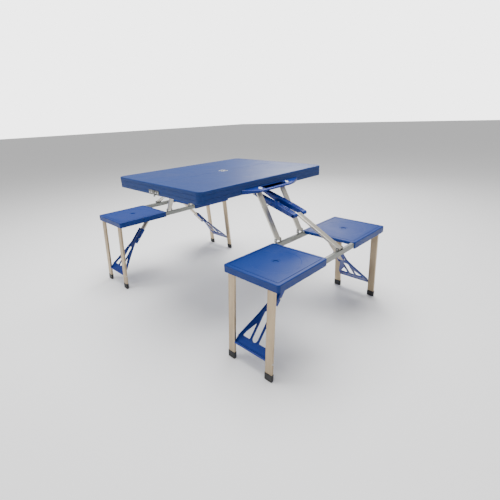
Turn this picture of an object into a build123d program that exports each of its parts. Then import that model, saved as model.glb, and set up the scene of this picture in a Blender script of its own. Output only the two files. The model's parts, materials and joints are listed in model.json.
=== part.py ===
"""Folding picnic table: two moulded half tops hinged along a seam, with four seats that stow inside.

Millimetres. X runs across the seam, Y along it and Z up. The origin is on the floor under the
centre of the top. Each half top carries one bench: two rails, two seats and four legs. Two struts
and a level brace hold the bench out, and a knee brace holds each pair of legs.
"""

import os
from math import atan2, cos, degrees, hypot, radians, sin

from build123d import *

# Table top
TOP_LENGTH = 855.0
TOP_WIDTH = 680.0
TOP_HEIGHT = 700.0
TRAY_DEPTH = 52.0
TRAY_PLATE = 3.0
TRAY_WALL = 3.5
TRAY_CORNER = 30.0
TRAY_EDGE = 4.0
SEAM_GAP = 0.5
GROOVE_DEPTH = 1.0
GROOVE_HEIGHT = 3.0
GROOVE_DROPS = (15.0, 34.0)
RIB_HEIGHT = 9.0
RIB_THICKNESS = 2.5
RIB_COUNT = 5
UMBRELLA_RADIUS = 20.0
COLLAR_WALL = 5.0
COLLAR_LENGTH = 20.0

# Carrying handle, half on each tray
HANDLE_LENGTH = 400.0
HANDLE_REACH = 38.0
HANDLE_STRAIGHT = 230.0
HANDLE_THICKNESS = 8.0
SLOT_LENGTH = 160.0
SLOT_WIDTH = 24.0
SLOT_OFFSET = 16.0
BUTTON_RADIUS = 8.0
BUTTON_HEIGHT = 3.0
BUTTON_Y = 96.0

# Seam hinges
HINGE_LEAF = 42.0
HINGE_HEIGHT = 21.0
HINGE_SHEET = 2.0
HINGE_LOBE = 8.0
HINGE_PIN = 3.0
SCREW_HEAD = 3.5
SCREW_HEAD_HEIGHT = 1.6
SCREW_INSET = (16.0, 33.0)

# Seats
SEAT_INNER_X = 441.0
SEAT_WIDTH = 288.0
SEAT_LENGTH = 311.0
SEAT_SPACE = 222.0
SEAT_HEIGHT = 424.0
SEAT_RIM = 31.0
SEAT_PLATE = 3.5
SEAT_WALL = 3.5
SEAT_CORNER = 12.0
SEAT_INNER_CORNER = 1.5
SEAT_EDGE = 4.0
SEAT_HOLE_RADIUS = 14.0
SEAT_DISH_RADIUS = 105.0
SEAT_DISH_DEPTH = 1.0

# Bench rails
RAIL_WIDTH = 15.0
RAIL_HEIGHT = 24.0
RAIL_SHEET = 1.5
RAIL_INSET = 5.0
RAIL_END_GAP = 0.5

# Legs
LEG_WIDTH = 36.0
LEG_THICKNESS = 12.0
LEG_INSET = 40.0
LEG_SPLAY = 4.0
LEG_HINGE_INSET = 12.0
LEG_HINGE_DROP = 18.0
LEG_END = 5.0
TUBE_WALL = 1.5
TUBE_FLAT = 1.0
FOOT_HEIGHT = 33.0
FOOT_WALL = 1.5
FOOT_FLOOR = 4.0
FOOT_BEVEL = 3.0

# Knee brace of each leg pair
BRACE_TUBE_WIDTH = 32.0
BRACE_TUBE_THICKNESS = 11.0
BRACE_ROD_Y = 124.0
BRACE_ROD_DROP = 7.5
BRACE_GRIP = 320.0
FAN_SHEET = 3.0
FAN_SLEEVE = 68.0
FAN_NECK = 34.0
FAN_CHEEK = 4.0
FAN_BAND = 30.0
FAN_BARREL = 5.5
FAN_RIB = 5.0
FAN_SLOT_WIDTH = 30.0
FAN_RIM = 12.0
FAN_TURN_GAP = 0.2
FAN_CHEEK_DROP = 1.0
BRACE_END = 4.5

# Struts and level brace
STRUT_WIDTH = 30.0
STRUT_THICKNESS = 11.0
STRUT_Y = 85.0
STRUT_TOP_X = 306.5
STRUT_TOP_DROP = 10.6
STRUT_FOOT_X = 447.0
STRUT_FOOT_RISE = 9.4
STRUT_END = 4.5
CRADLE_DISTANCE = 128.0
CRADLE_SLOPE = -19.2
CRADLE_WIDTH = 96.0
CRADLE_GAP = 41.0
PRONG_LENGTH = 106.0
PRONG_OFFSET = 6.0
PRONG_RADIUS = 6.0
KNEE_LENGTH = 138.0
KNEE_OFFSET = 13.0
KNEE_RADIUS = 9.0
ARM_WIDTH = 30.0
ARM_THICKNESS = 11.0
ARM_FOOT_RISE = 4.5
ARM_END = 5.0
BAIL_X = 84.0
BAIL_WIRE = 2.0
BAIL_EYE = 3.5
CLIP_LENGTH = 14.0
CRADLE_SOLE = -5.0
WEB_START = -25.0
WEB_LENGTH = 95.0
WEB_SHEET = 4.5
EAR_RADIUS = 7.0

# Fits
ROD_RADIUS = 3.0
CRADLE_ROD_RADIUS = 2.5
RUNNING = 0.05
SIDE_GAP = 0.3
RIVET_RADIUS = 5.5
RIVET_HEIGHT = 2.0
EAR_SHEET = 2.5

# Levels and lines that follow
TRAY_BOTTOM = TOP_HEIGHT - TRAY_DEPTH
TRAY_CEILING = TOP_HEIGHT - TRAY_PLATE
HALF_LENGTH = TOP_LENGTH / 2
HALF_WIDTH = TOP_WIDTH / 2
SEAT_OUTER_X = SEAT_INNER_X + SEAT_WIDTH
SEAT_MID_X = SEAT_INNER_X + SEAT_WIDTH / 2
SEAT_INNER_Y = SEAT_SPACE / 2
SEAT_OUTER_Y = SEAT_INNER_Y + SEAT_LENGTH
SEAT_MID_Y = (SEAT_INNER_Y + SEAT_OUTER_Y) / 2
RAIL_TOP = SEAT_HEIGHT - SEAT_PLATE
RAIL_BOTTOM = RAIL_TOP - RAIL_HEIGHT
INNER_RAIL_X = SEAT_INNER_X + RAIL_INSET + RAIL_WIDTH / 2
OUTER_RAIL_X = SEAT_OUTER_X - RAIL_INSET - RAIL_WIDTH / 2
RAIL_END = SEAT_OUTER_Y - SEAT_WALL - RAIL_END_GAP
LEG_XS = (SEAT_INNER_X + LEG_INSET, SEAT_OUTER_X - LEG_INSET)
LEG_HINGE = (SEAT_OUTER_Y - LEG_HINGE_INSET, RAIL_TOP - LEG_HINGE_DROP)
LEG_NOTCH = LEG_HINGE[1] + LEG_THICKNESS / 2 + 4 * SIDE_GAP
BRACE_ROD = (BRACE_ROD_Y, RAIL_TOP - BRACE_ROD_DROP)
STRUT_TOP = (STRUT_TOP_X, TOP_HEIGHT - STRUT_TOP_DROP)
STRUT_FOOT = (STRUT_FOOT_X, SEAT_HEIGHT + STRUT_FOOT_RISE)
ARM_FOOT = (OUTER_RAIL_X, SEAT_HEIGHT + ARM_FOOT_RISE)


def ahead(start, angle, distance, aside=0.0):
    """The point at a distance from start along an angle in degrees, and aside to its left."""
    a = radians(angle)
    return (
        start[0] + distance * cos(a) - aside * sin(a),
        start[1] + distance * sin(a) + aside * cos(a),
    )


def span(start, end):
    """Length and angle in degrees from start to end."""
    return hypot(end[0] - start[0], end[1] - start[1]), degrees(
        atan2(end[1] - start[1], end[0] - start[0])
    )


# Level brace, in the XZ plane: cradle on the struts, arm to the outer rail, bail to the tray
STRUT_LENGTH, STRUT_ANGLE = span(STRUT_TOP, STRUT_FOOT)
CRADLE_PIN = ahead(STRUT_TOP, STRUT_ANGLE, CRADLE_DISTANCE)
PRONG_TIP = ahead(CRADLE_PIN, CRADLE_SLOPE, -PRONG_LENGTH, PRONG_OFFSET)
KNEE = ahead(CRADLE_PIN, CRADLE_SLOPE, KNEE_LENGTH, KNEE_OFFSET)
ARM_LENGTH, ARM_ANGLE = span(KNEE, ARM_FOOT)

# The bail is as long to the prong tips with the bench stowed as with it out
STOWED_TIP = (STRUT_TOP[0] - CRADLE_DISTANCE + PRONG_LENGTH, STRUT_TOP[1] - PRONG_OFFSET)
BAIL_Z = (
    (STOWED_TIP[0] - BAIL_X) ** 2 - (PRONG_TIP[0] - BAIL_X) ** 2 + STOWED_TIP[1] ** 2 - PRONG_TIP[1] ** 2
) / (2 * (STOWED_TIP[1] - PRONG_TIP[1]))
BAIL_PIN = (BAIL_X, BAIL_Z)
BAIL_LENGTH, BAIL_ANGLE = span(BAIL_PIN, PRONG_TIP)

# Stowed, the bail's bend passes over the cradle's rod
STOWED_BEND = (STRUT_TOP[0] - CRADLE_DISTANCE, STRUT_TOP[1] + CRADLE_ROD_RADIUS + BAIL_WIRE + SIDE_GAP)
BEND_LENGTH, BEND_ANGLE = span(BAIL_PIN, STOWED_BEND)
BAIL_BEND = ahead(BAIL_PIN, BEND_ANGLE + BAIL_ANGLE - span(BAIL_PIN, STOWED_TIP)[1], BEND_LENGTH)

# Knee brace, in the YZ plane: it is straight with the legs down and lies on itself with them folded
LEG_ANGLE = LEG_SPLAY - 90
LEG_LENGTH = LEG_HINGE[1] / cos(radians(LEG_SPLAY))
FAN_PIN = ahead(LEG_HINGE, LEG_ANGLE, BRACE_GRIP)
FAN_DROP = BRACE_ROD[1] - LEG_HINGE[1]
PIN_SPAN, PIN_ANGLE = span(BRACE_ROD, FAN_PIN)
BRACE_SPAN = (PIN_SPAN**2 - FAN_DROP**2) ** 0.5
BRACE_ANGLE = PIN_ANGLE - degrees(atan2(FAN_DROP, BRACE_SPAN))
FAN_LENGTH = (BRACE_SPAN + BRACE_ROD[0] - LEG_HINGE[0] + BRACE_GRIP) / 2
BRACE_TUBE_LENGTH = BRACE_SPAN - FAN_LENGTH
BRACE_KNEE = ahead(BRACE_ROD, BRACE_ANGLE, BRACE_TUBE_LENGTH)
FAN_WIDTH = LEG_XS[1] - LEG_XS[0] - LEG_WIDTH - 2 * SIDE_GAP
NECK_HALF = BRACE_TUBE_WIDTH / 2 + SIDE_GAP + FAN_CHEEK
FAN_WEB = hypot(BRACE_END, BRACE_TUBE_THICKNESS / 2) + FAN_TURN_GAP


def xz_plane(y):
    """The plane across the seam at y, whose local axes are X and Z."""
    return Plane.XZ.offset(-y)


def yz_plane(x):
    """The plane along the seam at x, whose local axes are Y and Z."""
    return Plane.YZ.offset(x)


def section_plane_xz(point, angle, y):
    """A plane at a point of the XZ plane that faces along an angle, with local X along Y."""
    a = radians(angle)
    return Plane(origin=(point[0], y, point[1]), x_dir=(0, 1, 0), z_dir=(cos(a), 0, sin(a)))


def section_plane_yz(point, angle, x):
    """A plane at a point of the YZ plane that faces along an angle, with local X along X."""
    a = radians(angle)
    return Plane(origin=(x, point[0], point[1]), x_dir=(1, 0, 0), z_dir=(0, cos(a), sin(a)))


def cradle_plane(y):
    """The plane of the cradle's side view: local X runs to the knee, local Y up."""
    a = radians(CRADLE_SLOPE)
    return Plane(origin=(CRADLE_PIN[0], y, CRADLE_PIN[1]), x_dir=(cos(a), 0, sin(a)), z_dir=(0, -1, 0))


def tray_face(inset):
    """Half the top seen from above, inset all round, as a sketch at the origin."""
    near = SEAM_GAP / 2 + inset
    far = HALF_WIDTH - inset
    with BuildSketch() as face:
        with Locations(((near + far) / 2, 0)):
            Rectangle(far - near, TOP_LENGTH - 2 * inset)
        fillet(face.vertices().group_by(Axis.X)[-1], TRAY_CORNER - inset)
    return face.sketch


def handle_face():
    """The handle's flange seen from above, with ends that flow into the skirt."""
    root = HALF_WIDTH - TRAY_WALL / 2
    out = HALF_WIDTH + HANDLE_REACH
    end = HANDLE_LENGTH / 2
    straight = HANDLE_STRAIGHT / 2
    with BuildSketch() as face:
        with BuildLine():
            Polyline((HALF_WIDTH, end), (root, end), (root, -end), (HALF_WIDTH, -end))
            Spline((HALF_WIDTH, -end), (out, -straight), tangents=((0, 1), (0, 1)))
            Line((out, -straight), (out, straight))
            Spline((out, straight), (HALF_WIDTH, end), tangents=((0, 1), (0, 1)))
        make_face()
        with Locations((HALF_WIDTH + SLOT_OFFSET, 0)):
            SlotOverall(SLOT_LENGTH, SLOT_WIDTH, rotation=90, mode=Mode.SUBTRACT)
    return face.sketch


def make_tray():
    """Half of the top: plate, skirt, ribs, half an umbrella collar and half a carrying handle."""
    with BuildPart() as tray:
        with BuildSketch(Plane.XY.offset(TRAY_BOTTOM)):
            add(tray_face(0))
        extrude(amount=TRAY_DEPTH)
        fillet(tray.faces().sort_by(Axis.Z)[-1].edges().sort_by(Axis.X)[1:], TRAY_EDGE)
        with BuildSketch(Plane.XY.offset(TRAY_BOTTOM)):
            add(tray_face(TRAY_WALL))
        extrude(amount=TRAY_DEPTH - TRAY_PLATE, mode=Mode.SUBTRACT)
        for drop in GROOVE_DROPS:
            with BuildSketch(Plane.XY.offset(TOP_HEIGHT - drop)):
                add(tray_face(-GROOVE_DEPTH))
                add(tray_face(GROOVE_DEPTH), mode=Mode.SUBTRACT)
            extrude(amount=-GROOVE_HEIGHT, mode=Mode.SUBTRACT)
        inside = HALF_WIDTH - 2 * TRAY_WALL
        pitch = SEAT_LENGTH / RIB_COUNT
        first = SEAT_INNER_Y + pitch / 2
        rib_ys = [side * (first + step * pitch) for step in range(RIB_COUNT) for side in (-1, 1)]
        with BuildSketch(Plane.XY.offset(TRAY_CEILING)):
            with Locations([(HALF_WIDTH / 2, y) for y in rib_ys]):
                Rectangle(inside, RIB_THICKNESS)
        extrude(amount=-RIB_HEIGHT)
        with BuildSketch(Plane.XY.offset(TRAY_CEILING)):
            with Locations((SEAM_GAP / 2, 0)):
                Circle(UMBRELLA_RADIUS + COLLAR_WALL)
            with Locations((SEAM_GAP / 2 - HALF_WIDTH / 2, 0)):
                Rectangle(HALF_WIDTH, HALF_WIDTH, mode=Mode.SUBTRACT)
        extrude(amount=TRAY_PLATE - COLLAR_LENGTH)
        with BuildSketch(Plane.XY.offset(TRAY_BOTTOM)):
            Circle(UMBRELLA_RADIUS + COLLAR_WALL + SEAM_GAP)
        extrude(amount=TRAY_DEPTH - COLLAR_LENGTH, mode=Mode.SUBTRACT)
        with BuildSketch(Plane.XY.offset(TRAY_BOTTOM)):
            add(handle_face())
        extrude(amount=HANDLE_THICKNESS)
        with BuildSketch(Plane.XY.offset(TRAY_BOTTOM)):
            Circle(UMBRELLA_RADIUS)
        extrude(amount=TRAY_DEPTH, mode=Mode.SUBTRACT)
        button_x = HALF_WIDTH + SLOT_OFFSET
        with Locations([(button_x, y, TRAY_BOTTOM + HANDLE_THICKNESS) for y in (-BUTTON_Y, BUTTON_Y)]):
            Cylinder(BUTTON_RADIUS, BUTTON_HEIGHT, align=(Align.CENTER, Align.CENTER, Align.MIN))
    return tray.part


def end_plates(face, start, thickness):
    """A face of the XZ plane as a plate on each end of the table, start beyond the skirt."""
    with BuildPart() as plates:
        for side in (-1, 1):
            with BuildSketch(xz_plane(side * (HALF_LENGTH + start))):
                add(face)
            extrude(amount=-side * thickness)
    return plates.part


def leaf_face(near, far, lobe, bore):
    """A hinge leaf seen along Y, from near to far, with a lobe round the hinge line."""
    with BuildSketch() as face:
        with Locations((near, TRAY_BOTTOM)):
            Rectangle(far - near, HINGE_HEIGHT, align=(Align.MIN, Align.MIN))
        if lobe:
            with Locations((0, TRAY_BOTTOM)):
                Circle(HINGE_LOBE)
                Circle(bore, mode=Mode.SUBTRACT)
    return face.sketch


def make_right_leaves():
    """Right leaves of the seam hinges, whose lobes stand a sheet further out."""
    step = HINGE_LOBE + 2 * SIDE_GAP
    outer = HINGE_SHEET + SIDE_GAP
    with BuildPart() as leaves:
        add(end_plates(leaf_face(step, HINGE_LEAF, False, 0), 0, HINGE_SHEET))
        add(end_plates(leaf_face(step, step + HINGE_SHEET, False, 0), 0, outer + HINGE_SHEET))
        lobe = leaf_face(SEAM_GAP / 2, step + HINGE_SHEET, True, HINGE_PIN + RUNNING)
        add(end_plates(lobe, outer, HINGE_SHEET))
    return leaves.part


def make_left_leaves():
    """Left leaves of the seam hinges, flat on the skirt."""
    return end_plates(leaf_face(-HINGE_LEAF, -SEAM_GAP / 2, True, HINGE_PIN), 0, HINGE_SHEET)


def make_hinge_rivets():
    """Rivets of the seam hinges, headed over the right leaves."""
    stack = 2 * HINGE_SHEET + SIDE_GAP
    with BuildSketch() as shank:
        with Locations((0, TRAY_BOTTOM)):
            Circle(HINGE_PIN)
    with BuildSketch() as head:
        with Locations((0, TRAY_BOTTOM)):
            Circle(RIVET_RADIUS)
    with BuildPart() as rivets:
        add(end_plates(shank.sketch, 0, stack + SIDE_GAP))
        add(end_plates(head.sketch, stack + SIDE_GAP, RIVET_HEIGHT))
    return rivets.part


def make_hinge_screws():
    """Screw heads on the right leaves of the seam hinges."""
    with BuildSketch() as heads:
        with Locations([(x, TRAY_BOTTOM + HINGE_HEIGHT / 2) for x in SCREW_INSET]):
            Circle(SCREW_HEAD)
    return end_plates(heads.sketch, HINGE_SHEET, SCREW_HEAD_HEIGHT)


def make_strut_mounts():
    """Channels under the tray that hold the tops of the struts."""
    ear = STRUT_WIDTH / 2 + SIDE_GAP + EAR_SHEET
    reach = ROD_RADIUS * 3
    with BuildPart() as mounts:
        for y in (-STRUT_Y, STRUT_Y):
            for side in (-1, 1):
                with BuildSketch(xz_plane(y + side * (ear - EAR_SHEET))):
                    with Locations((STRUT_TOP[0], TRAY_CEILING)):
                        Rectangle(2 * reach, TRAY_CEILING - STRUT_TOP[1], align=(Align.CENTER, Align.MAX))
                    with Locations(STRUT_TOP):
                        Circle(reach)
                    with Locations((STRUT_TOP[0], TRAY_CEILING)):
                        Rectangle(4 * reach, reach, align=(Align.CENTER, Align.MIN), mode=Mode.SUBTRACT)
                    with Locations(STRUT_TOP):
                        Circle(ROD_RADIUS + RUNNING, mode=Mode.SUBTRACT)
                extrude(amount=-side * EAR_SHEET)
    return mounts.part


def make_bail_clips():
    """Clips under the tray that the bail's cross wire turns in."""
    outer = BAIL_WIRE + EAR_SHEET
    with BuildPart() as clips:
        for y in (-CRADLE_GAP / 4, CRADLE_GAP / 4):
            with BuildSketch(xz_plane(y)):
                with Locations(BAIL_PIN):
                    Circle(outer)
                    Rectangle(2 * outer, TRAY_CEILING - BAIL_PIN[1], align=(Align.CENTER, Align.MIN))
                    Circle(BAIL_WIRE + RUNNING, mode=Mode.SUBTRACT)
                with Locations((BAIL_PIN[0], TRAY_CEILING)):
                    Rectangle(4 * outer, 4 * outer, align=(Align.CENTER, Align.MIN), mode=Mode.SUBTRACT)
            extrude(amount=CLIP_LENGTH / 2, both=True)
    return clips.part


def make_strut(y):
    """One flat-oval strut, drilled for the pins at both ends and the cradle's rod."""
    start = ahead(STRUT_TOP, STRUT_ANGLE, -STRUT_END)
    with BuildPart() as strut:
        with BuildSketch(section_plane_xz(start, STRUT_ANGLE, y)):
            tube_face(STRUT_WIDTH, STRUT_THICKNESS)
        extrude(amount=STRUT_LENGTH + 2 * STRUT_END)
        with BuildSketch(xz_plane(y)):
            with Locations(STRUT_TOP):
                Circle(ROD_RADIUS)
            with Locations(CRADLE_PIN):
                Circle(CRADLE_ROD_RADIUS)
            with Locations(STRUT_FOOT):
                Circle(ROD_RADIUS + RUNNING)
        extrude(amount=STRUT_WIDTH, both=True, mode=Mode.SUBTRACT)
    return strut.part


def tube_face(width, thickness):
    """Adds a flat-oval tube's section to the current sketch."""
    corner = (thickness - TUBE_FLAT) / 2
    RectangleRounded(width, thickness, corner)
    RectangleRounded(width - 2 * TUBE_WALL, thickness - 2 * TUBE_WALL, corner - TUBE_WALL, mode=Mode.SUBTRACT)


def rod_along_y(point, radius, low, high):
    """Adds a rod across the XZ plane at a point, between two Y values."""
    with BuildSketch(xz_plane(low)) as section:
        with Locations(point):
            Circle(radius)
    extrude(section.sketch, amount=low - high)


def rod_along_x(point, radius, low, high):
    """Adds a rod across the YZ plane at a point, between two X values."""
    with BuildSketch(yz_plane(low)) as section:
        with Locations(point):
            Circle(radius)
    extrude(section.sketch, amount=high - low)


def make_strut_pins():
    """Top pins of the struts, and the rod between them that carries the cradle."""
    half = STRUT_WIDTH / 2 + SIDE_GAP + EAR_SHEET + RIVET_HEIGHT
    with BuildPart() as pins:
        for y in (-STRUT_Y, STRUT_Y):
            rod_along_y(STRUT_TOP, ROD_RADIUS, y - half, y + half)
        reach = STRUT_Y + STRUT_WIDTH / 2 + RIVET_HEIGHT
        rod_along_y(CRADLE_PIN, CRADLE_ROD_RADIUS, -reach, reach)
    return pins.part


def make_bail():
    """Wire bail from its clips under the tray to the eyes at the tips of the prongs."""
    side_y = CRADLE_WIDTH / 2 + SIDE_GAP + BAIL_WIRE
    half = [(point[0], side_y, point[1]) for point in (PRONG_TIP, BAIL_BEND, BAIL_PIN)]
    corners = half + [(x, -y, z) for x, y, z in reversed(half)]
    with BuildPart() as bail:
        with BuildLine() as path:
            FilletPolyline(*corners, radius=2 * BAIL_WIRE)
        _, angle = span(PRONG_TIP, BAIL_BEND)
        with BuildSketch(section_plane_xz(PRONG_TIP, angle, side_y)):
            Circle(BAIL_WIRE)
        sweep(path=path.line)
        for y in (-side_y, side_y):
            rod_along_y(PRONG_TIP, PRONG_RADIUS, y - BAIL_EYE / 2, y + BAIL_EYE / 2)
    return bail.part


def cradle_side():
    """Side view of a cradle arm, with its prong to the left and the knee to the right."""
    with BuildSketch() as side:
        with BuildLine():
            Polyline(
                (-PRONG_LENGTH, PRONG_OFFSET - PRONG_RADIUS),
                (-PRONG_LENGTH / 2, CRADLE_SOLE),
                (0, CRADLE_SOLE),
                (KNEE_LENGTH, KNEE_OFFSET - KNEE_RADIUS),
                (KNEE_LENGTH, KNEE_OFFSET + KNEE_RADIUS),
                (KNEE_LENGTH / 2, KNEE_OFFSET + KNEE_RADIUS),
                (0, KNEE_OFFSET + PRONG_RADIUS),
                (-PRONG_LENGTH, PRONG_OFFSET + PRONG_RADIUS),
                close=True,
            )
        make_face()
        with Locations((-PRONG_LENGTH, PRONG_OFFSET)):
            Circle(PRONG_RADIUS)
        with Locations((KNEE_LENGTH, KNEE_OFFSET)):
            Circle(KNEE_RADIUS)
        Circle(CRADLE_ROD_RADIUS + RUNNING, mode=Mode.SUBTRACT)
    return side.sketch


def make_cradle():
    """Moulded cradle: two arms with prongs, joined by a web that the arm folds onto."""
    arm = (CRADLE_WIDTH - CRADLE_GAP) / 2
    with BuildPart() as cradle:
        for side in (-1, 1):
            with BuildSketch(cradle_plane(side * CRADLE_GAP / 2)):
                add(cradle_side())
            extrude(amount=-side * arm)
        with BuildSketch(cradle_plane(0)):
            with Locations((WEB_START, CRADLE_SOLE)):
                Rectangle(WEB_LENGTH, WEB_SHEET, align=(Align.MIN, Align.MIN))
            Circle(CRADLE_ROD_RADIUS + RUNNING, mode=Mode.SUBTRACT)
        extrude(amount=CRADLE_GAP / 2, both=True)
    return cradle.part


def make_arm():
    """Flat-oval arm from the cradle's knee to the outer rail, drilled for its foot pin."""
    start = ahead(KNEE, ARM_ANGLE, -ARM_END)
    with BuildPart() as arm:
        with BuildSketch(section_plane_xz(start, ARM_ANGLE, 0)):
            tube_face(ARM_WIDTH, ARM_THICKNESS)
        extrude(amount=ARM_LENGTH + 2 * ARM_END)
        with BuildSketch(xz_plane(0)):
            with Locations(ARM_FOOT):
                Circle(ROD_RADIUS + RUNNING)
        extrude(amount=ARM_WIDTH, both=True, mode=Mode.SUBTRACT)
    return arm.part


def make_rail(x):
    """One bench rail, a rectangular tube drilled for the leg and brace rods."""
    with BuildPart() as rail:
        with BuildSketch(xz_plane(-RAIL_END)):
            with Locations((x, RAIL_TOP)):
                Rectangle(RAIL_WIDTH, RAIL_HEIGHT, align=(Align.CENTER, Align.MAX))
            with Locations((x, RAIL_TOP - RAIL_SHEET)):
                Rectangle(
                    RAIL_WIDTH - 2 * RAIL_SHEET,
                    RAIL_HEIGHT - 2 * RAIL_SHEET,
                    align=(Align.CENTER, Align.MAX),
                    mode=Mode.SUBTRACT,
                )
        extrude(amount=-2 * RAIL_END)
        with BuildSketch(yz_plane(x)):
            with Locations(*rod_points()):
                Circle(ROD_RADIUS)
        extrude(amount=RAIL_WIDTH, both=True, mode=Mode.SUBTRACT)
    return rail.part


def rod_points():
    """Rod centres of one bench, in Y and Z."""
    return [(side * y, z) for y, z in (LEG_HINGE, BRACE_ROD) for side in (-1, 1)]


def make_seat_rods():
    """Rods across the rails: a hinge for each leg pair and a pivot for each knee brace."""
    reach = RAIL_WIDTH / 2
    with BuildPart() as rods:
        for point in rod_points():
            rod_along_x(point, ROD_RADIUS, INNER_RAIL_X - reach, OUTER_RAIL_X + reach)
    return rods.part


def make_shoes():
    """Shoes on the inner rail that hold the feet of the struts."""
    half = STRUT_WIDTH / 2 + SIDE_GAP
    with BuildPart() as shoes:
        for y in (-STRUT_Y, STRUT_Y):
            for side in (-1, 1):
                add_ear(STRUT_FOOT, y + side * half, side, EAR_RADIUS)
    return shoes.part


def make_arm_clevis():
    """Ears on the outer rail that hold the foot of the arm."""
    with BuildPart() as clevis:
        for side in (-1, 1):
            add_ear(ARM_FOOT, side * (ARM_WIDTH / 2 + SIDE_GAP), side, ARM_FOOT[1] - RAIL_TOP)
    return clevis.part


def add_ear(point, y, side, radius):
    """Adds an ear that stands on a rail and is drilled at a pin."""
    with BuildSketch(xz_plane(y)) as ear:
        with Locations(point):
            Circle(radius)
        with Locations((point[0], RAIL_TOP)):
            Rectangle(2 * radius, point[1] - RAIL_TOP, align=(Align.CENTER, Align.MIN))
            Rectangle(4 * radius, 4 * radius, align=(Align.CENTER, Align.MAX), mode=Mode.SUBTRACT)
        with Locations(point):
            Circle(ROD_RADIUS, mode=Mode.SUBTRACT)
    extrude(ear.sketch, amount=-side * EAR_SHEET)


def make_bench_pins():
    """Foot pins of the struts and of the arm."""
    with BuildPart() as pins:
        half = STRUT_WIDTH / 2 + SIDE_GAP + EAR_SHEET + RIVET_HEIGHT
        for y in (-STRUT_Y, STRUT_Y):
            rod_along_y(STRUT_FOOT, ROD_RADIUS, y - half, y + half)
        half = ARM_WIDTH / 2 + SIDE_GAP + EAR_SHEET + RIVET_HEIGHT
        rod_along_y(ARM_FOOT, ROD_RADIUS, -half, half)
    return pins.part


def make_seat():
    """One moulded seat: a dished plate, and a rim that covers the rails' ends and clears folded legs."""
    with BuildPart() as seat:
        with BuildSketch(Plane.XY.offset(SEAT_HEIGHT)):
            with Locations((SEAT_MID_X, SEAT_MID_Y)):
                RectangleRounded(SEAT_WIDTH, SEAT_LENGTH, SEAT_CORNER)
        extrude(amount=-SEAT_RIM)
        fillet(seat.faces().sort_by(Axis.Z)[-1].edges(), SEAT_EDGE)
        with BuildSketch(Plane.XY.offset(SEAT_HEIGHT - SEAT_PLATE)):
            with Locations((SEAT_MID_X, SEAT_MID_Y)):
                RectangleRounded(SEAT_WIDTH - 2 * SEAT_WALL, SEAT_LENGTH - 2 * SEAT_WALL, SEAT_INNER_CORNER)
        extrude(amount=-SEAT_RIM, mode=Mode.SUBTRACT)
        with BuildSketch(xz_plane(SEAT_INNER_Y - SEAT_WALL)):
            with Locations((INNER_RAIL_X, RAIL_TOP), (OUTER_RAIL_X, RAIL_TOP)):
                Rectangle(RAIL_WIDTH, SEAT_RIM, align=(Align.CENTER, Align.MAX))
            with Locations((SEAT_MID_X, LEG_NOTCH)):
                Rectangle(OUTER_RAIL_X - INNER_RAIL_X, SEAT_RIM, align=(Align.CENTER, Align.MAX))
        extrude(amount=-3 * SEAT_WALL, mode=Mode.SUBTRACT)
        with Locations((SEAT_MID_X, SEAT_MID_Y, SEAT_HEIGHT)):
            Cylinder(SEAT_DISH_RADIUS, 2 * SEAT_DISH_DEPTH, mode=Mode.SUBTRACT)
            Cylinder(SEAT_HOLE_RADIUS, 4 * SEAT_PLATE, mode=Mode.SUBTRACT)
    return seat.part


def leg_bars(width, thickness, hollow, start, floor):
    """Two bars along the legs of one seat, from start down the legs, cut level at a floor."""
    top = ahead(LEG_HINGE, LEG_ANGLE, start)
    with BuildPart() as bars:
        for x in LEG_XS:
            with BuildSketch(section_plane_yz(top, LEG_ANGLE, x)):
                if hollow:
                    tube_face(width, thickness)
                else:
                    RectangleRounded(width, thickness, (thickness - TUBE_FLAT) / 2)
            extrude(amount=LEG_LENGTH - start + LEG_WIDTH)
        with BuildSketch(Plane.XY.offset(floor)):
            with Locations((SEAT_MID_X, LEG_HINGE[0])):
                Rectangle(2 * SEAT_WIDTH, 2 * SEAT_WIDTH)
        extrude(amount=-4 * LEG_WIDTH, mode=Mode.SUBTRACT)
    return bars.part


def make_legs():
    """Two flat-oval legs of one seat, drilled for the hinge rod."""
    with BuildPart() as legs:
        add(leg_bars(LEG_WIDTH, LEG_THICKNESS, True, -LEG_END, FOOT_FLOOR))
        with BuildSketch(yz_plane(SEAT_MID_X)):
            with Locations(LEG_HINGE):
                Circle(ROD_RADIUS + RUNNING)
        extrude(amount=SEAT_WIDTH, both=True, mode=Mode.SUBTRACT)
    return legs.part


def make_foot_caps():
    """Rubber caps over the bottom ends of one seat's legs, level with the floor."""
    start = LEG_LENGTH - FOOT_HEIGHT
    wide = LEG_WIDTH + 2 * FOOT_WALL
    thick = LEG_THICKNESS + 2 * FOOT_WALL
    with BuildPart() as caps:
        add(leg_bars(wide, thick, False, start, 0))
        chamfer(caps.faces().filter_by(Axis.Z).edges(), FOOT_BEVEL)
        add(leg_bars(LEG_WIDTH, LEG_THICKNESS, False, start - FOOT_FLOOR, FOOT_FLOOR), mode=Mode.SUBTRACT)
    return caps.part


def make_brace_tube():
    """Flat-oval tube from the bench's brace rod to the knee, drilled at both ends."""
    start = ahead(BRACE_ROD, BRACE_ANGLE, -BRACE_END)
    with BuildPart() as tube:
        with BuildSketch(section_plane_yz(start, BRACE_ANGLE, SEAT_MID_X)):
            tube_face(BRACE_TUBE_WIDTH, BRACE_TUBE_THICKNESS)
        extrude(amount=BRACE_TUBE_LENGTH + 2 * BRACE_END)
        with BuildSketch(yz_plane(SEAT_MID_X)):
            with Locations(BRACE_ROD, BRACE_KNEE):
                Circle(ROD_RADIUS + RUNNING)
        extrude(amount=BRACE_TUBE_WIDTH, both=True, mode=Mode.SUBTRACT)
    return tube.part


def fan_plane(height):
    """The plane of the fan's face, at a height outwards of the brace's centreline."""
    a = radians(BRACE_ANGLE)
    y, z = ahead(BRACE_KNEE, BRACE_ANGLE, 0, height)
    return Plane(origin=(SEAT_MID_X, y, z), x_dir=(0, cos(a), sin(a)), z_dir=(0, -sin(a), cos(a)))


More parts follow.
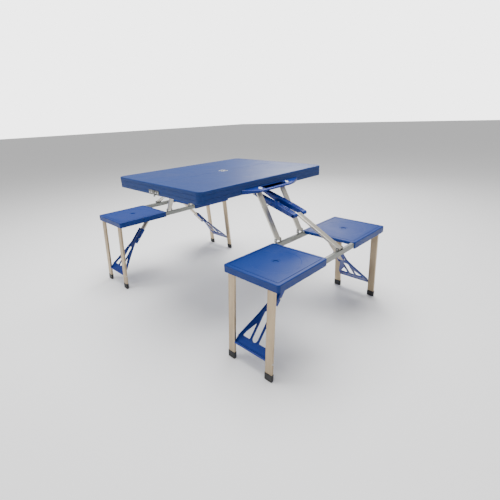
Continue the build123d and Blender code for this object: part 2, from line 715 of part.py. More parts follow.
def fan_half_width(x):
    """Half the fan's width at a distance from the knee."""
    flare = (FAN_WIDTH / 2 - NECK_HALF) / (FAN_LENGTH - FAN_BAND - FAN_NECK)
    return NECK_HALF + (x - FAN_NECK) * flare


def fan_outline(inset):
    """The fan's face from the neck to its wide end, inset all round."""
    wide = FAN_WIDTH / 2 - inset
    neck = NECK_HALF - inset
    band = FAN_LENGTH - FAN_BAND
    with BuildSketch() as face:
        with BuildLine():
            Polyline(
                (FAN_NECK, -neck),
                (band, -wide),
                (FAN_LENGTH - inset, -wide),
                (FAN_LENGTH - inset, wide),
                (band, wide),
                (FAN_NECK, neck),
                close=True,
            )
        make_face()
    return face.sketch


def fan_openings():
    """The fan's middle slot and its two side openings."""
    start = FAN_NECK + FAN_BAND
    end = FAN_LENGTH - FAN_BAND
    beside = FAN_SLOT_WIDTH / 2 + FAN_RIM
    with BuildSketch() as face:
        with Locations(((start + end) / 2 + FAN_RIM / 2, 0)):
            SlotOverall(end - start - FAN_RIM, FAN_SLOT_WIDTH)
        for side in (-1, 1):
            with BuildLine():
                Polyline(
                    (start + FAN_BAND + FAN_RIM, side * beside),
                    (end - FAN_SHEET, side * beside),
                    (end - FAN_SHEET, side * (fan_half_width(end) - FAN_RIM)),
                    close=True,
                )
            make_face()
    return face.sketch


def make_fan():
    """Moulded fan: a sleeve that hides the knee, and a ribbed, pierced plate between the legs."""
    with BuildPart() as fan:
        with BuildSketch(fan_plane(FAN_WEB)):
            with Locations((-FAN_SLEEVE, 0)):
                Rectangle(FAN_SLEEVE + FAN_NECK, 2 * NECK_HALF, align=(Align.MIN, Align.CENTER))
            add(fan_outline(0))
            add(fan_openings(), mode=Mode.SUBTRACT)
        extrude(amount=FAN_SHEET)
        with BuildSketch(fan_plane(FAN_WEB + FAN_SHEET)):
            with Locations((-FAN_SLEEVE, NECK_HALF - FAN_CHEEK), (-FAN_SLEEVE, -NECK_HALF)):
                Rectangle(FAN_SLEEVE + FAN_NECK, FAN_CHEEK, align=(Align.MIN, Align.MIN))
        extrude(amount=-(FAN_WEB + FAN_SHEET + BRACE_TUBE_THICKNESS / 2 + FAN_CHEEK_DROP))
        with BuildSketch(fan_plane(FAN_WEB + FAN_SHEET)):
            add(fan_outline(0))
            add(fan_outline(FAN_SHEET), mode=Mode.SUBTRACT)
        extrude(amount=FAN_RIB)
        with BuildSketch(yz_plane(SEAT_MID_X)):
            with Locations(FAN_PIN):
                Circle(FAN_BARREL)
        extrude(amount=FAN_WIDTH / 2, both=True)
        with BuildSketch(yz_plane(SEAT_MID_X)):
            with Locations(BRACE_KNEE):
                Circle(ROD_RADIUS)
        extrude(amount=NECK_HALF, both=True, mode=Mode.SUBTRACT)
    return fan.part


def make_knee_pin():
    """Rivet of the knee brace, through the fan's sleeve and the tube."""
    reach = NECK_HALF + RIVET_HEIGHT
    with BuildPart() as pin:
        rod_along_x(BRACE_KNEE, ROD_RADIUS, SEAT_MID_X - reach, SEAT_MID_X + reach)
    return pin.part


def save(piece, name, planes=()):
    """Writes a piece as a named node, mirrored in the given planes."""
    for plane in planes:
        with BuildPart() as copy:
            mirror(piece, about=plane)
        piece = copy.part
    piece.label = name
    export_step(piece, f"parts/{name}.step")


SIDES = {"right": (), "left": (Plane.YZ,)}
ENDS = {"back": (), "front": (Plane.XZ,)}

SIDE_PIECES = {
    "tray": make_tray(),
    "hinge_screws": make_hinge_screws(),
    "strut_mounts": make_strut_mounts(),
    "bail_clips": make_bail_clips(),
    "strut_pins": make_strut_pins(),
    "bail": make_bail(),
    "cradle": make_cradle(),
    "arm": make_arm(),
    "inner_rail": make_rail(INNER_RAIL_X),
    "outer_rail": make_rail(OUTER_RAIL_X),
    "seat_rods": make_seat_rods(),
    "strut_shoes": make_shoes(),
    "arm_clevis": make_arm_clevis(),
    "bench_pins": make_bench_pins(),
}
CORNER_PIECES = {
    "strut": make_strut(STRUT_Y),
    "seat": make_seat(),
    "legs": make_legs(),
    "foot_caps": make_foot_caps(),
    "brace_tube": make_brace_tube(),
    "brace_fan": make_fan(),
    "knee_pin": make_knee_pin(),
}

os.makedirs("parts", exist_ok=True)
save(make_right_leaves(), "hinge_leaves_right")
save(make_left_leaves(), "hinge_leaves_left")
save(make_hinge_rivets(), "hinge_rivets")
for side, side_planes in SIDES.items():
    for name, piece in SIDE_PIECES.items():
        save(piece, f"{name}_{side}", side_planes)
    for end, end_planes in ENDS.items():
        for name, piece in CORNER_PIECES.items():
            save(piece, f"{name}_{side}_{end}", side_planes + end_planes)
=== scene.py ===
"""Looks of a folding picnic table, built round its packed construction frame.

The frame gives every body, joint and node box. Each class below makes one sub-assembly in the
right back quarter of the table, in metres, and mirrors it to the other sides and ends.
"""
from __future__ import annotations

import json
import logging
import math
from dataclasses import dataclass
from enum import Enum

import bmesh
import bpy
from mathutils import Matrix, Vector

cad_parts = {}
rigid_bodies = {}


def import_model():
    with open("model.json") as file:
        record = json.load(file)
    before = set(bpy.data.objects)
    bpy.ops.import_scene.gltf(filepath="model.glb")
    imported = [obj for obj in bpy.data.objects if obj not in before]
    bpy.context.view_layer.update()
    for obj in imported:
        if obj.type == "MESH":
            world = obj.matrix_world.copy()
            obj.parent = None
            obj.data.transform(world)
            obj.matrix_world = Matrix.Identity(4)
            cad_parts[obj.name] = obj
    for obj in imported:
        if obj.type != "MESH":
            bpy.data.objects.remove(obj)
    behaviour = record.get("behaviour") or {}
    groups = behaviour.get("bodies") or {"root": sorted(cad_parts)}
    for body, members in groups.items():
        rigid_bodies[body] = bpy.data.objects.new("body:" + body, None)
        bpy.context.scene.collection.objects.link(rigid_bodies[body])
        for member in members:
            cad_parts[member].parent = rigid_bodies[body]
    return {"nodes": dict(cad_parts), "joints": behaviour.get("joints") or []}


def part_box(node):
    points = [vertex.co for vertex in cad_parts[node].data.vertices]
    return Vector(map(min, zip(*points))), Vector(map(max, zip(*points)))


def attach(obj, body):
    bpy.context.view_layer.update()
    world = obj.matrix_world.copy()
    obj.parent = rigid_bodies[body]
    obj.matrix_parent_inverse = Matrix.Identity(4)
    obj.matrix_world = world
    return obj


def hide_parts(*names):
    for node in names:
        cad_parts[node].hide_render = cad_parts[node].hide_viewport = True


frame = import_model()

MM = 0.001
FINE_STEPS = 64
DISC_STEPS = 48
PIN_STEPS = 24
ARC_STEPS = 6
LEVEL_MARGIN = 0.1 * MM
FACING = 0.99
OVERCUT = 20 * MM
SPAN = 100 * MM
CUT_TOLERANCE = 1e-6
LOG = logging.getLogger("picnic_table")
Point = tuple[float, float]
Color = tuple[float, float, float]


class Side(Enum):
    """The two halves of the table, with their direction along X."""

    RIGHT = 1
    LEFT = -1


class End(Enum):
    """The two ends of the table, with their direction along Y."""

    BACK = 1
    FRONT = -1


# --- Places taken from the frame ---------------------------------------------------------------


def joint_place(name: str) -> Vector:
    """Gives a joint's position.

    Args:
        name: The joint's name in the frame.

    Returns:
        Its position at rest, in metres.
    """
    return Vector(next(joint["pos_m"] for joint in frame["joints"] if joint["name"] == name))


def plane_matrix(origin: Vector, along: Vector, up: Vector) -> Matrix:
    """Gives the placement of a local frame.

    Args:
        origin: Where the local origin lies.
        along: The direction of local X.
        up: The direction of local Z.

    Returns:
        A matrix from local to world places.
    """
    across = up.cross(along)
    columns = Matrix((along, across, up)).transposed().to_4x4()
    return Matrix.Translation(origin) @ columns


# --- Mesh helpers ------------------------------------------------------------------------------


def rounded_slab(bm: bmesh.types.BMesh, size: Point, radius: float, height: float, steps: int = 6) -> None:
    """Adds a rounded rectangle centred on the origin and extruded up from it.

    Args:
        bm: The mesh to add to.
        size: Its size along X and Y.
        radius: Its corner radius.
        height: Its height along Z.
        steps: Segments in each corner.
    """
    grid = bmesh.ops.create_grid(bm, x_segments=1, y_segments=1, size=0.5)
    bmesh.ops.scale(bm, vec=(size[0], size[1], 1), verts=grid["verts"])
    bmesh.ops.bevel(bm, geom=grid["verts"], offset=radius, segments=steps, profile=0.5, affect="VERTICES",
                    material=-1)
    face = max(bm.faces, key=lambda f: f.index if f.index >= 0 else len(bm.faces))
    raise_face(bm, face, Vector((0, 0, height)))


def raise_face(bm: bmesh.types.BMesh, face: bmesh.types.BMFace, step: Vector) -> list[bmesh.types.BMFace]:
    """Extrudes one face into a closed solid.

    Args:
        bm: The mesh that holds the face.
        face: The face to extrude, which stays as the base.
        step: How far the new face moves.

    Returns:
        The faces made at the far end.
    """
    made = bmesh.ops.extrude_face_region(bm, geom=[face], use_keep_orig=True)["geom"]
    bmesh.ops.translate(bm, vec=step, verts=[v for v in made if isinstance(v, bmesh.types.BMVert)])
    bmesh.ops.recalc_face_normals(bm, faces=bm.faces[:])
    return [f for f in made if isinstance(f, bmesh.types.BMFace)]


def add_box(bm: bmesh.types.BMesh, low: Vector, high: Vector) -> None:
    """Adds a box between two corners."""
    made = bmesh.ops.create_cube(bm, size=1)["verts"]
    bmesh.ops.scale(bm, vec=high - low, verts=made)
    bmesh.ops.translate(bm, vec=(high + low) / 2, verts=made)


def add_drum(bm: bmesh.types.BMesh, radius: float, ends: tuple[Vector, Vector], steps: int = 32,
             far_radius: float | None = None) -> None:
    """Adds a closed round bar or cone between two points.

    Args:
        bm: The mesh to add to.
        radius: Its radius at the first end.
        ends: Its two ends.
        steps: Segments round it.
        far_radius: Its radius at the second end, if that differs.
    """
    start, stop = ends
    line = stop - start
    turn = Vector((0, 0, 1)).rotation_difference(line).to_matrix().to_4x4()
    bmesh.ops.create_cone(bm, cap_ends=True, segments=steps, radius1=radius, radius2=far_radius or radius,
                          depth=line.length, matrix=Matrix.Translation((start + stop) / 2) @ turn)


def make_object(name: str, bm: bmesh.types.BMesh) -> bpy.types.Object:
    """Turns a bmesh into a linked object and frees it."""
    mesh = bpy.data.meshes.new(name)
    bm.to_mesh(mesh)
    bm.free()
    piece = bpy.data.objects.new(name, mesh)
    bpy.context.scene.collection.objects.link(piece)
    return piece


def carve(piece: bpy.types.Object, cutter: bpy.types.Object) -> None:
    """Cuts one closed object out of another and removes the cutter.

    Args:
        piece: The object that is cut.
        cutter: The object whose space is taken away.
    """
    cut = piece.modifiers.new("cut", "BOOLEAN")
    cut.operation = "DIFFERENCE"
    cut.solver = "MANIFOLD"
    cut.object = cutter
    bpy.context.view_layer.update()
    mesh = bpy.data.meshes.new_from_object(piece.evaluated_get(bpy.context.evaluated_depsgraph_get()))
    piece.modifiers.clear()
    bm = bmesh.new()
    bm.from_mesh(mesh)
    bmesh.ops.dissolve_degenerate(bm, edges=bm.edges[:], dist=0.02 * MM)
    bmesh.ops.triangulate(bm, faces=[f for f in bm.faces if len(f.verts) > 4])
    bm.normal_update()
    bm.to_mesh(mesh)
    bm.free()
    piece.data = mesh
    bpy.data.objects.remove(cutter)


def soften(piece: bpy.types.Object, width: float, steps: int = 2, angle: float = 32.0) -> None:
    """Rounds a piece's sharp edges slightly and shades the rest smooth.

    Args:
        piece: The object to finish.
        width: The width of the rounding, or 0 for none.
        steps: Segments across each rounded edge.
        angle: Edges sharper than this, in degrees, are rounded.
    """
    mesh = piece.data
    mesh.shade_smooth()
    mesh.set_sharp_from_angle(angle=math.radians(angle))
    if width:
        bevel = piece.modifiers.new("edge_rounding", "BEVEL")
        bevel.limit_method = "ANGLE"
        bevel.angle_limit = math.radians(angle)
        bevel.width = width
        bevel.segments = steps
    weighted = piece.modifiers.new("flat_faces", "WEIGHTED_NORMAL")
    weighted.weight = 100
    weighted.keep_sharp = True


def rounded_outline(corners: list[Point], radii: list[float] | float, steps: int = 6) -> list[Point]:
    """Rounds the corners of an outline with arcs.

    Args:
        corners: The outline's corners in order.
        radii: One radius for all corners, or one for each.
        steps: Segments in each arc.

    Returns:
        The points of the rounded outline.
    """
    each = radii if isinstance(radii, list) else [radii] * len(corners)
    points: list[Point] = []
    for index, corner in enumerate(corners):
        here = Vector(corner)
        before = (Vector(corners[index - 1]) - here).normalized()
        after = (Vector(corners[(index + 1) % len(corners)]) - here).normalized()
        half = before.angle(after) / 2
        if each[index] <= 0:
            points.append(corner)
            continue
        reach = each[index] / math.tan(half)
        centre = here + (before + after).normalized() * each[index] / math.sin(half)
        first = here + before * reach - centre
        last = here + after * reach - centre
        sweep = first.angle_signed(last)
        for step in range(steps + 1):
            arm = first.copy()
            arm.rotate(Matrix.Rotation(-sweep * step / steps, 2))
            points.append((centre.x + arm.x, centre.y + arm.y))
    return points


def plate(name: str, outlines: list[list[Point]], thickness: float, edge: float, place: Matrix) -> bpy.types.Object:
    """Makes a flat plate with rounded edges and holes.

    Args:
        name: The object's name.
        outlines: The outer outline, then any holes in it, in local X and Y.
        thickness: The plate's full thickness along local Z, centred on the plane.
        edge: The radius of its rounded edges.
        place: The placement of the local plane.

    Returns:
        The plate as a mesh object.
    """
    curve = bpy.data.curves.new(name, "CURVE")
    curve.dimensions = "2D"
    curve.fill_mode = "BOTH"
    curve.extrude = thickness / 2 - edge
    curve.bevel_depth = edge
    curve.bevel_resolution = 1
    curve.offset = -edge
    for outline in outlines:
        spline = curve.splines.new("POLY")
        spline.points.add(len(outline) - 1)
        for point, (x, y) in zip(spline.points, outline):
            point.co = (x, y, 0, 1)
        spline.use_cyclic_u = True
    drawn = bpy.data.objects.new(name + "_curve", curve)
    bpy.context.scene.collection.objects.link(drawn)
    bpy.context.view_layer.update()
    mesh = bpy.data.meshes.new_from_object(drawn.evaluated_get(bpy.context.evaluated_depsgraph_get()))
    bpy.data.objects.remove(drawn)
    mesh.transform(place)
    mesh.name = name
    piece = bpy.data.objects.new(name, mesh)
    bpy.context.scene.collection.objects.link(piece)
    return piece


def joined(name: str, pieces: list[bpy.types.Object]) -> bpy.types.Object:
    """Joins objects at the origin into one and merges their doubled points.

    Args:
        name: The name of the result.
        pieces: The objects to join, which are removed.

    Returns:
        The joined object.
    """
    bm = bmesh.new()
    for piece in pieces:
        bm.from_mesh(piece.data)
        bpy.data.objects.remove(piece)
    bmesh.ops.remove_doubles(bm, verts=bm.verts[:], dist=0.01 * MM)
    return make_object(name, bm)


def mirrored_mesh(mesh: bpy.types.Mesh, x: int, y: int) -> bpy.types.Mesh:
    """Copies a mesh to the side and end that two signs give.

    Args:
        mesh: A mesh in the right back quarter.
        x: 1 to stay right, -1 for left.
        y: 1 to stay at the back, -1 for the front.

    Returns:
        The copy, with its faces outwards.
    """
    copy = mesh.copy()
    copy.transform(Matrix.Diagonal((x, y, 1, 1)))
    if x * y < 0:
        copy.flip_normals()
    return copy


MODIFIER_VALUES = {"BEVEL": ("limit_method", "angle_limit", "width", "segments"),
                   "WEIGHTED_NORMAL": ("weight", "keep_sharp")}


def fit_out(master: bpy.types.Object, stem: str, node: str, body: str, material: bpy.types.Material,
            ends: bool) -> None:
    """Places mirrored copies of a master piece on every side, and at both ends if asked.

    Args:
        master: The piece in the right back quarter, which is removed.
        stem: The stem of the copies' names.
        node: The stem of the construction nodes that they stand for.
        body: The stem of the bodies that they ride on, or the bench's or half's own form with {side}.
        material: The finish.
        ends: Whether there is one at each end as well.
    """
    for side in Side:
        for end in (list(End) if ends else [End.BACK]):
            label = side.name.lower() + (f"_{end.name.lower()}" if ends else "")
            mesh = mirrored_mesh(master.data, side.value, end.value)
            mesh.materials.clear()
            mesh.materials.append(material)
            mesh.polygons.foreach_set("material_index", [0] * len(mesh.polygons))
            piece = bpy.data.objects.new(f"{stem}_{label}", mesh)
            bpy.context.scene.collection.objects.link(piece)
            for source in master.modifiers:
                copy = piece.modifiers.new(source.name, source.type)
                for name in MODIFIER_VALUES[source.type]:
                    setattr(copy, name, getattr(source, name))
            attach(piece, body.format(side=side.name.lower(), label=label))
            if node:
                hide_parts(f"{node}_{label}")
            LOG.info("placed %s", piece.name)
    bpy.data.objects.remove(master)


# --- Finishes ----------------------------------------------------------------------------------


class NodeGroups:
    """Shader node groups that several finishes use, each built once."""

    def __init__(self) -> None:
        """Starts with no groups built."""
        self.built: dict[str, bpy.types.NodeTree] = {}

    def tree(self, name: str, inputs: dict[str, float], outputs: list[str]) -> bpy.types.NodeTree:
        """Starts a group with its sockets.

        Args:
            name: The group's name.
            inputs: Each value input and its default.
            outputs: The names of its value outputs.

        Returns:
            The new group, with a Vector input before the others.
        """
        group = bpy.data.node_groups.new(name, "ShaderNodeTree")
        group.interface.new_socket("Vector", in_out="INPUT", socket_type="NodeSocketVector")
        for label, value in inputs.items():
            socket = group.interface.new_socket(label, in_out="INPUT", socket_type="NodeSocketFloat")
            socket.default_value = value
        for label in outputs:
            group.interface.new_socket(label, in_out="OUTPUT", socket_type="NodeSocketFloat")
        group.nodes.new("NodeGroupInput")
        group.nodes.new("NodeGroupOutput")
        self.built[name] = group
        return group

    def moulded(self) -> bpy.types.NodeTree:
        """Gives the group for moulded plastic: a fine pebble height and slow flow marks."""
        if "moulded_skin" in self.built:
            return self.built["moulded_skin"]
        group = self.tree("moulded_skin", {"Pebble Scale": 900.0, "Flow Scale": 5.0}, ["Height", "Flow"])
        nodes, links = group.nodes, group.links
        source, sink = nodes["Group Input"], nodes["Group Output"]
        pebble = nodes.new("ShaderNodeTexVoronoi")
        pebble.feature = "SMOOTH_F1"
        fine = nodes.new("ShaderNodeTexNoise")
        fine.inputs["Detail"].default_value = 3
        flow = nodes.new("ShaderNodeTexNoise")
        flow.inputs["Detail"].default_value = 4
        flow.inputs["Distortion"].default_value = 0.6
        total = nodes.new("ShaderNodeMath")
        total.operation = "ADD"
        for node, scale in ((pebble, "Pebble Scale"), (fine, "Pebble Scale"), (flow, "Flow Scale")):
            links.new(source.outputs["Vector"], node.inputs["Vector"])
            links.new(source.outputs[scale], node.inputs["Scale"])
        links.new(pebble.outputs["Distance"], total.inputs[0])
        links.new(fine.outputs["Fac"], total.inputs[1])
        links.new(total.outputs[0], sink.inputs["Height"])
        links.new(flow.outputs["Fac"], sink.inputs["Flow"])
        return group

    def scratches(self) -> bpy.types.NodeTree:
        """Gives the group for use marks: fine scratches both ways and rubbed patches."""
        if "use_marks" in self.built:
            return self.built["use_marks"]
        group = self.tree("use_marks", {"Scale": 8.0, "Patch Scale": 6.0}, ["Scratch", "Rub"])
        nodes, links = group.nodes, group.links
        source, sink = nodes["Group Input"], nodes["Group Output"]
        lines = []
        for turn in (0.35, 1.9):
            place = nodes.new("ShaderNodeMapping")
            place.inputs["Rotation"].default_value = (0.1, 0.15, turn)
            place.inputs["Scale"].default_value = (1.0, 45.0, 12.0)
            links.new(source.outputs["Vector"], place.inputs["Vector"])
            noise = nodes.new("ShaderNodeTexNoise")
            noise.inputs["Detail"].default_value = 2
            links.new(place.outputs["Vector"], noise.inputs["Vector"])
            links.new(source.outputs["Scale"], noise.inputs["Scale"])
            mask = nodes.new("ShaderNodeMapRange")
            mask.inputs["From Min"].default_value = 0.68
            mask.inputs["From Max"].default_value = 0.74
            links.new(noise.outputs["Fac"], mask.inputs["Value"])
            lines.append(mask)
        most = nodes.new("ShaderNodeMath")
        most.operation = "MAXIMUM"
        links.new(lines[0].outputs["Result"], most.inputs[0])
        links.new(lines[1].outputs["Result"], most.inputs[1])
        patch = nodes.new("ShaderNodeTexNoise")
        patch.inputs["Detail"].default_value = 5
        patch.inputs["Roughness"].default_value = 0.65
        links.new(source.outputs["Vector"], patch.inputs["Vector"])
        links.new(source.outputs["Patch Scale"], patch.inputs["Scale"])
        rub = nodes.new("ShaderNodeMapRange")
        rub.inputs["From Min"].default_value = 0.35
        rub.inputs["From Max"].default_value = 0.75
        links.new(patch.outputs["Fac"], rub.inputs["Value"])
        links.new(most.outputs[0], sink.inputs["Scratch"])
        links.new(rub.outputs["Result"], sink.inputs["Rub"])
        return group

    def drawn(self) -> bpy.types.NodeTree:
        """Gives the group for drawn metal: fine lines along local X and slow streaks."""
        if "drawn_metal" in self.built:
            return self.built["drawn_metal"]
        group = self.tree("drawn_metal", {"Line Scale": 60.0}, ["Lines", "Streaks"])
        nodes, links = group.nodes, group.links
        source, sink = nodes["Group Input"], nodes["Group Output"]
        for label, stretch, detail in (("Lines", (0.04, 12.0, 12.0), 3), ("Streaks", (0.05, 0.9, 0.9), 2)):
            place = nodes.new("ShaderNodeMapping")
            place.inputs["Scale"].default_value = stretch
            noise = nodes.new("ShaderNodeTexNoise")
            noise.inputs["Detail"].default_value = detail
            links.new(source.outputs["Vector"], place.inputs["Vector"])
            links.new(place.outputs["Vector"], noise.inputs["Vector"])
            links.new(source.outputs["Line Scale"], noise.inputs["Scale"])
            links.new(noise.outputs["Fac"], sink.inputs[label])
        return group


GROUPS = NodeGroups()


class Shader:
    """A material under construction, with short calls for the nodes that finishes share."""

    def __init__(self, name: str, roughness: float, metallic: float = 0.0, coat: float = 0.0,
                 specular: float = 0.5) -> None:
        """Starts a material with its Principled shader.

        Args:
            name: The material's name.
            roughness: Its roughness where nothing varies it.
            metallic: 1 for bare metal.
            coat: The weight of its clear top gloss.
            specular: The strength of its own reflection.
        """
        self.material = bpy.data.materials.new(name)
        self.material.use_nodes = True
        self.nodes = self.material.node_tree.nodes
        self.links = self.material.node_tree.links
        self.surface = self.nodes["Principled BSDF"]
        self.surface.inputs["Roughness"].default_value = roughness
        self.surface.inputs["Metallic"].default_value = metallic
        self.surface.inputs["Coat Weight"].default_value = coat
        self.surface.inputs["Specular IOR Level"].default_value = specular
        self.surface.inputs["Coat Roughness"].default_value = 0.2
        self.coordinates = self.nodes.new("ShaderNodeTexCoord")

    def symmetric(self, turn: tuple[float, float, float] = (0.0, 0.0, 0.0)) -> bpy.types.NodeSocket:
        """Gives object coordinates that mirror across both middles, turned so local X runs along a part."""
        fold = self.nodes.new("ShaderNodeVectorMath")
        fold.operation = "ABSOLUTE"
        self.links.new(self.coordinates.outputs["Object"], fold.inputs[0])
        place = self.nodes.new("ShaderNodeMapping")
        place.inputs["Rotation"].default_value = turn
        self.links.new(fold.outputs["Vector"], place.inputs["Vector"])
        return place.outputs["Vector"]

    def group(self, tree: bpy.types.NodeTree, vector: bpy.types.NodeSocket, **values: float) -> bpy.types.Node:
        """Places a shared group.

        Args:
            tree: The group's node tree.
            vector: The coordinates that it reads.
            values: Values for its other inputs, with _ for a space in a name.

        Returns:
            The group's node.
        """
        node = self.nodes.new("ShaderNodeGroup")
        node.node_tree = tree
        self.links.new(vector, node.inputs["Vector"])
        for label, value in values.items():
            node.inputs[label.replace("_", " ")].default_value = value
        return node

    def blend(self, factor: bpy.types.NodeSocket, low: Color | bpy.types.NodeSocket, high: Color,
              span: Point = (0.0, 1.0)) -> bpy.types.NodeSocket:
        """Mixes two colours by a value.

        Args:
            factor: The value that mixes them.
            low: The colour, or colour socket, at the start of the span.
            high: The colour at the end of the span.
            span: How much of the second colour shows where the value is 0 and where it is 1.

        Returns:
            The mixed colour.
        """
        mix = self.nodes.new("ShaderNodeMix")
        mix.data_type = "RGBA"
        self.links.new(self.ranged(factor, (0.0, 1.0), span), mix.inputs["Factor"])
        if isinstance(low, tuple):
            mix.inputs["A"].default_value = (*low, 1)
        else:
            self.links.new(low, mix.inputs["A"])
        mix.inputs["B"].default_value = (*high, 1)
        return mix.outputs["Result"]

    def ranged(self, value: bpy.types.NodeSocket, given: Point, wanted: Point) -> bpy.types.NodeSocket:
        """Maps a value from one range onto another, clamped."""
        node = self.nodes.new("ShaderNodeMapRange")
        node.inputs["From Min"].default_value = given[0]
        node.inputs["From Max"].default_value = given[1]
        node.inputs["To Min"].default_value = wanted[0]
        node.inputs["To Max"].default_value = wanted[1]
        self.links.new(value, node.inputs["Value"])
        return node.outputs["Result"]

    def bumps(self, *layers: tuple[bpy.types.NodeSocket, float, float]) -> None:
        """Stacks bump layers into the surface's normal.

        Args:
            layers: For each layer its height, its strength and its distance in metres.
        """
        normal = None
        for height, strength, distance in layers:
            bump = self.nodes.new("ShaderNodeBump")
            bump.inputs["Strength"].default_value = strength
            bump.inputs["Distance"].default_value = distance
            self.links.new(height, bump.inputs["Height"])
            if normal:
                self.links.new(normal, bump.inputs["Normal"])
            normal = bump.outputs["Normal"]
        self.links.new(normal, self.surface.inputs["Normal"])


@dataclass(frozen=True)
class MouldedPlastic:
    """Blue moulded plastic with a pebbled skin, flow marks and light use marks."""

    name: str
    color: Color
    worn: Color
    roughness: float
    coat: float = 0.0
    pebble: float = 0.25
    wear: float = 0.35
    specular: float = 0.24

    def material(self) -> bpy.types.Material:
        """Builds the material."""
        shader = Shader(self.name, self.roughness, coat=self.coat, specular=self.specular)
        place = shader.coordinates.outputs["Object"]
        skin = shader.group(GROUPS.moulded(), place)
        marks = shader.group(GROUPS.scratches(), place)
        toned = shader.blend(skin.outputs["Flow"], self.color, self.worn, (0.0, 0.35))
        rubbed = shader.blend(marks.outputs["Rub"], toned, self.worn, (0.0, self.wear))
        scored = shader.blend(marks.outputs["Scratch"], rubbed, tuple(min(1.0, 1.6 * c) for c in self.worn),
                              (0.0, self.wear))
        shader.links.new(scored, shader.surface.inputs["Base Color"])
        rough = shader.ranged(marks.outputs["Rub"], (0, 1), (self.roughness - 0.05, self.roughness + 0.1))
        shader.links.new(rough, shader.surface.inputs["Roughness"])
        shader.bumps((skin.outputs["Height"], self.pebble, 0.12 * MM), (marks.outputs["Scratch"], 0.15, -0.05 * MM),
                     (skin.outputs["Flow"], 0.2, 1.5 * MM))
        return shader.material


@dataclass(frozen=True)
class DrawnTube:
    """Satin drawn aluminium with lines along the tube."""

    name: str
    color: Color
    shade: Color
    roughness: float
    turn: tuple[float, float, float]
    metallic: float = 1.0

    def material(self) -> bpy.types.Material:
        """Builds the material."""
        shader = Shader(self.name, self.roughness, metallic=self.metallic)
        place = shader.symmetric(self.turn)
        lines = shader.group(GROUPS.drawn(), place)
        marks = shader.group(GROUPS.scratches(), shader.coordinates.outputs["Object"], Patch_Scale=14.0)
        streaked = shader.blend(lines.outputs["Streaks"], self.color, self.shade, (0.0, 0.8))
        stained = shader.blend(marks.outputs["Rub"], streaked, self.shade, (0.0, 0.45))
        shader.links.new(stained, shader.surface.inputs["Base Color"])
        rough = shader.ranged(lines.outputs["Lines"], (0.3, 0.7), (self.roughness - 0.08, self.roughness + 0.12))
        shader.links.new(rough, shader.surface.inputs["Roughness"])
        shader.bumps((lines.outputs["Lines"], 0.12, 0.08 * MM), (marks.outputs["Scratch"], 0.2, -0.06 * MM))
        return shader.material


@dataclass(frozen=True)
class ZincSteel:
    """Zinc plated steel with spangle and dull spots."""

    name: str = "zinc_steel"
    color: Color = (0.62, 0.62, 0.60)
    dull: Color = (0.36, 0.35, 0.33)
    roughness: float = 0.32

    def material(self) -> bpy.types.Material:
        """Builds the material."""
        shader = Shader(self.name, self.roughness, metallic=1.0)
        place = shader.coordinates.outputs["Object"]
        marks = shader.group(GROUPS.scratches(), place, Scale=20.0, Patch_Scale=60.0)
        dulled = shader.blend(marks.outputs["Rub"], self.color, self.dull, (0.0, 0.9))
        shader.links.new(dulled, shader.surface.inputs["Base Color"])
        rough = shader.ranged(marks.outputs["Rub"], (0, 1), (self.roughness, self.roughness + 0.25))
        shader.links.new(rough, shader.surface.inputs["Roughness"])
        shader.bumps((marks.outputs["Scratch"], 0.2, -0.05 * MM), (marks.outputs["Rub"], 0.1, 0.1 * MM))
        return shader.material


@dataclass(frozen=True)
class CapRubber:
    """Black moulded rubber, dusty where it meets the ground."""

    name: str = "cap_rubber"
    color: Color = (0.008, 0.008, 0.010)
    dust: Color = (0.10, 0.09, 0.08)
    roughness: float = 0.5
    dust_height: float = 12 * MM

    def material(self) -> bpy.types.Material:
        """Builds the material."""
        shader = Shader(self.name, self.roughness)
        place = shader.coordinates.outputs["Object"]
        skin = shader.group(GROUPS.moulded(), place, Pebble_Scale=1400.0, Flow_Scale=30.0)
        apart = shader.nodes.new("ShaderNodeSeparateXYZ")
        shader.links.new(place, apart.inputs["Vector"])
        low = shader.ranged(apart.outputs["Z"], (0.0, self.dust_height), (1.0, 0.0))
        speckle = shader.nodes.new("ShaderNodeMath")
        speckle.operation = "MULTIPLY"
        shader.links.new(low, speckle.inputs[0])
        shader.links.new(skin.outputs["Flow"], speckle.inputs[1])
        dusty = shader.blend(speckle.outputs[0], self.color, self.dust, (0.0, 0.6))
        shader.links.new(dusty, shader.surface.inputs["Base Color"])
        rough = shader.ranged(skin.outputs["Flow"], (0.3, 0.7), (self.roughness - 0.1, self.roughness + 0.15))
        shader.links.new(rough, shader.surface.inputs["Roughness"])
        shader.bumps((skin.outputs["Height"], 0.3, 0.15 * MM))
        return shader.material


@dataclass(frozen=True)
class PaintedFloor:
    """Pale studio floor with a faint unevenness."""

    name: str = "studio_floor"
    color: Color = (0.97, 0.97, 0.97)

    def material(self) -> bpy.types.Material:
        """Builds the material."""
        shader = Shader(self.name, 0.7)
        skin = shader.group(GROUPS.moulded(), shader.coordinates.outputs["Object"], Pebble_Scale=40.0, Flow_Scale=0.8)
        tone = shader.blend(skin.outputs["Flow"], self.color, (0.95, 0.95, 0.955))
        shader.links.new(tone, shader.surface.inputs["Base Color"])
        return shader.material


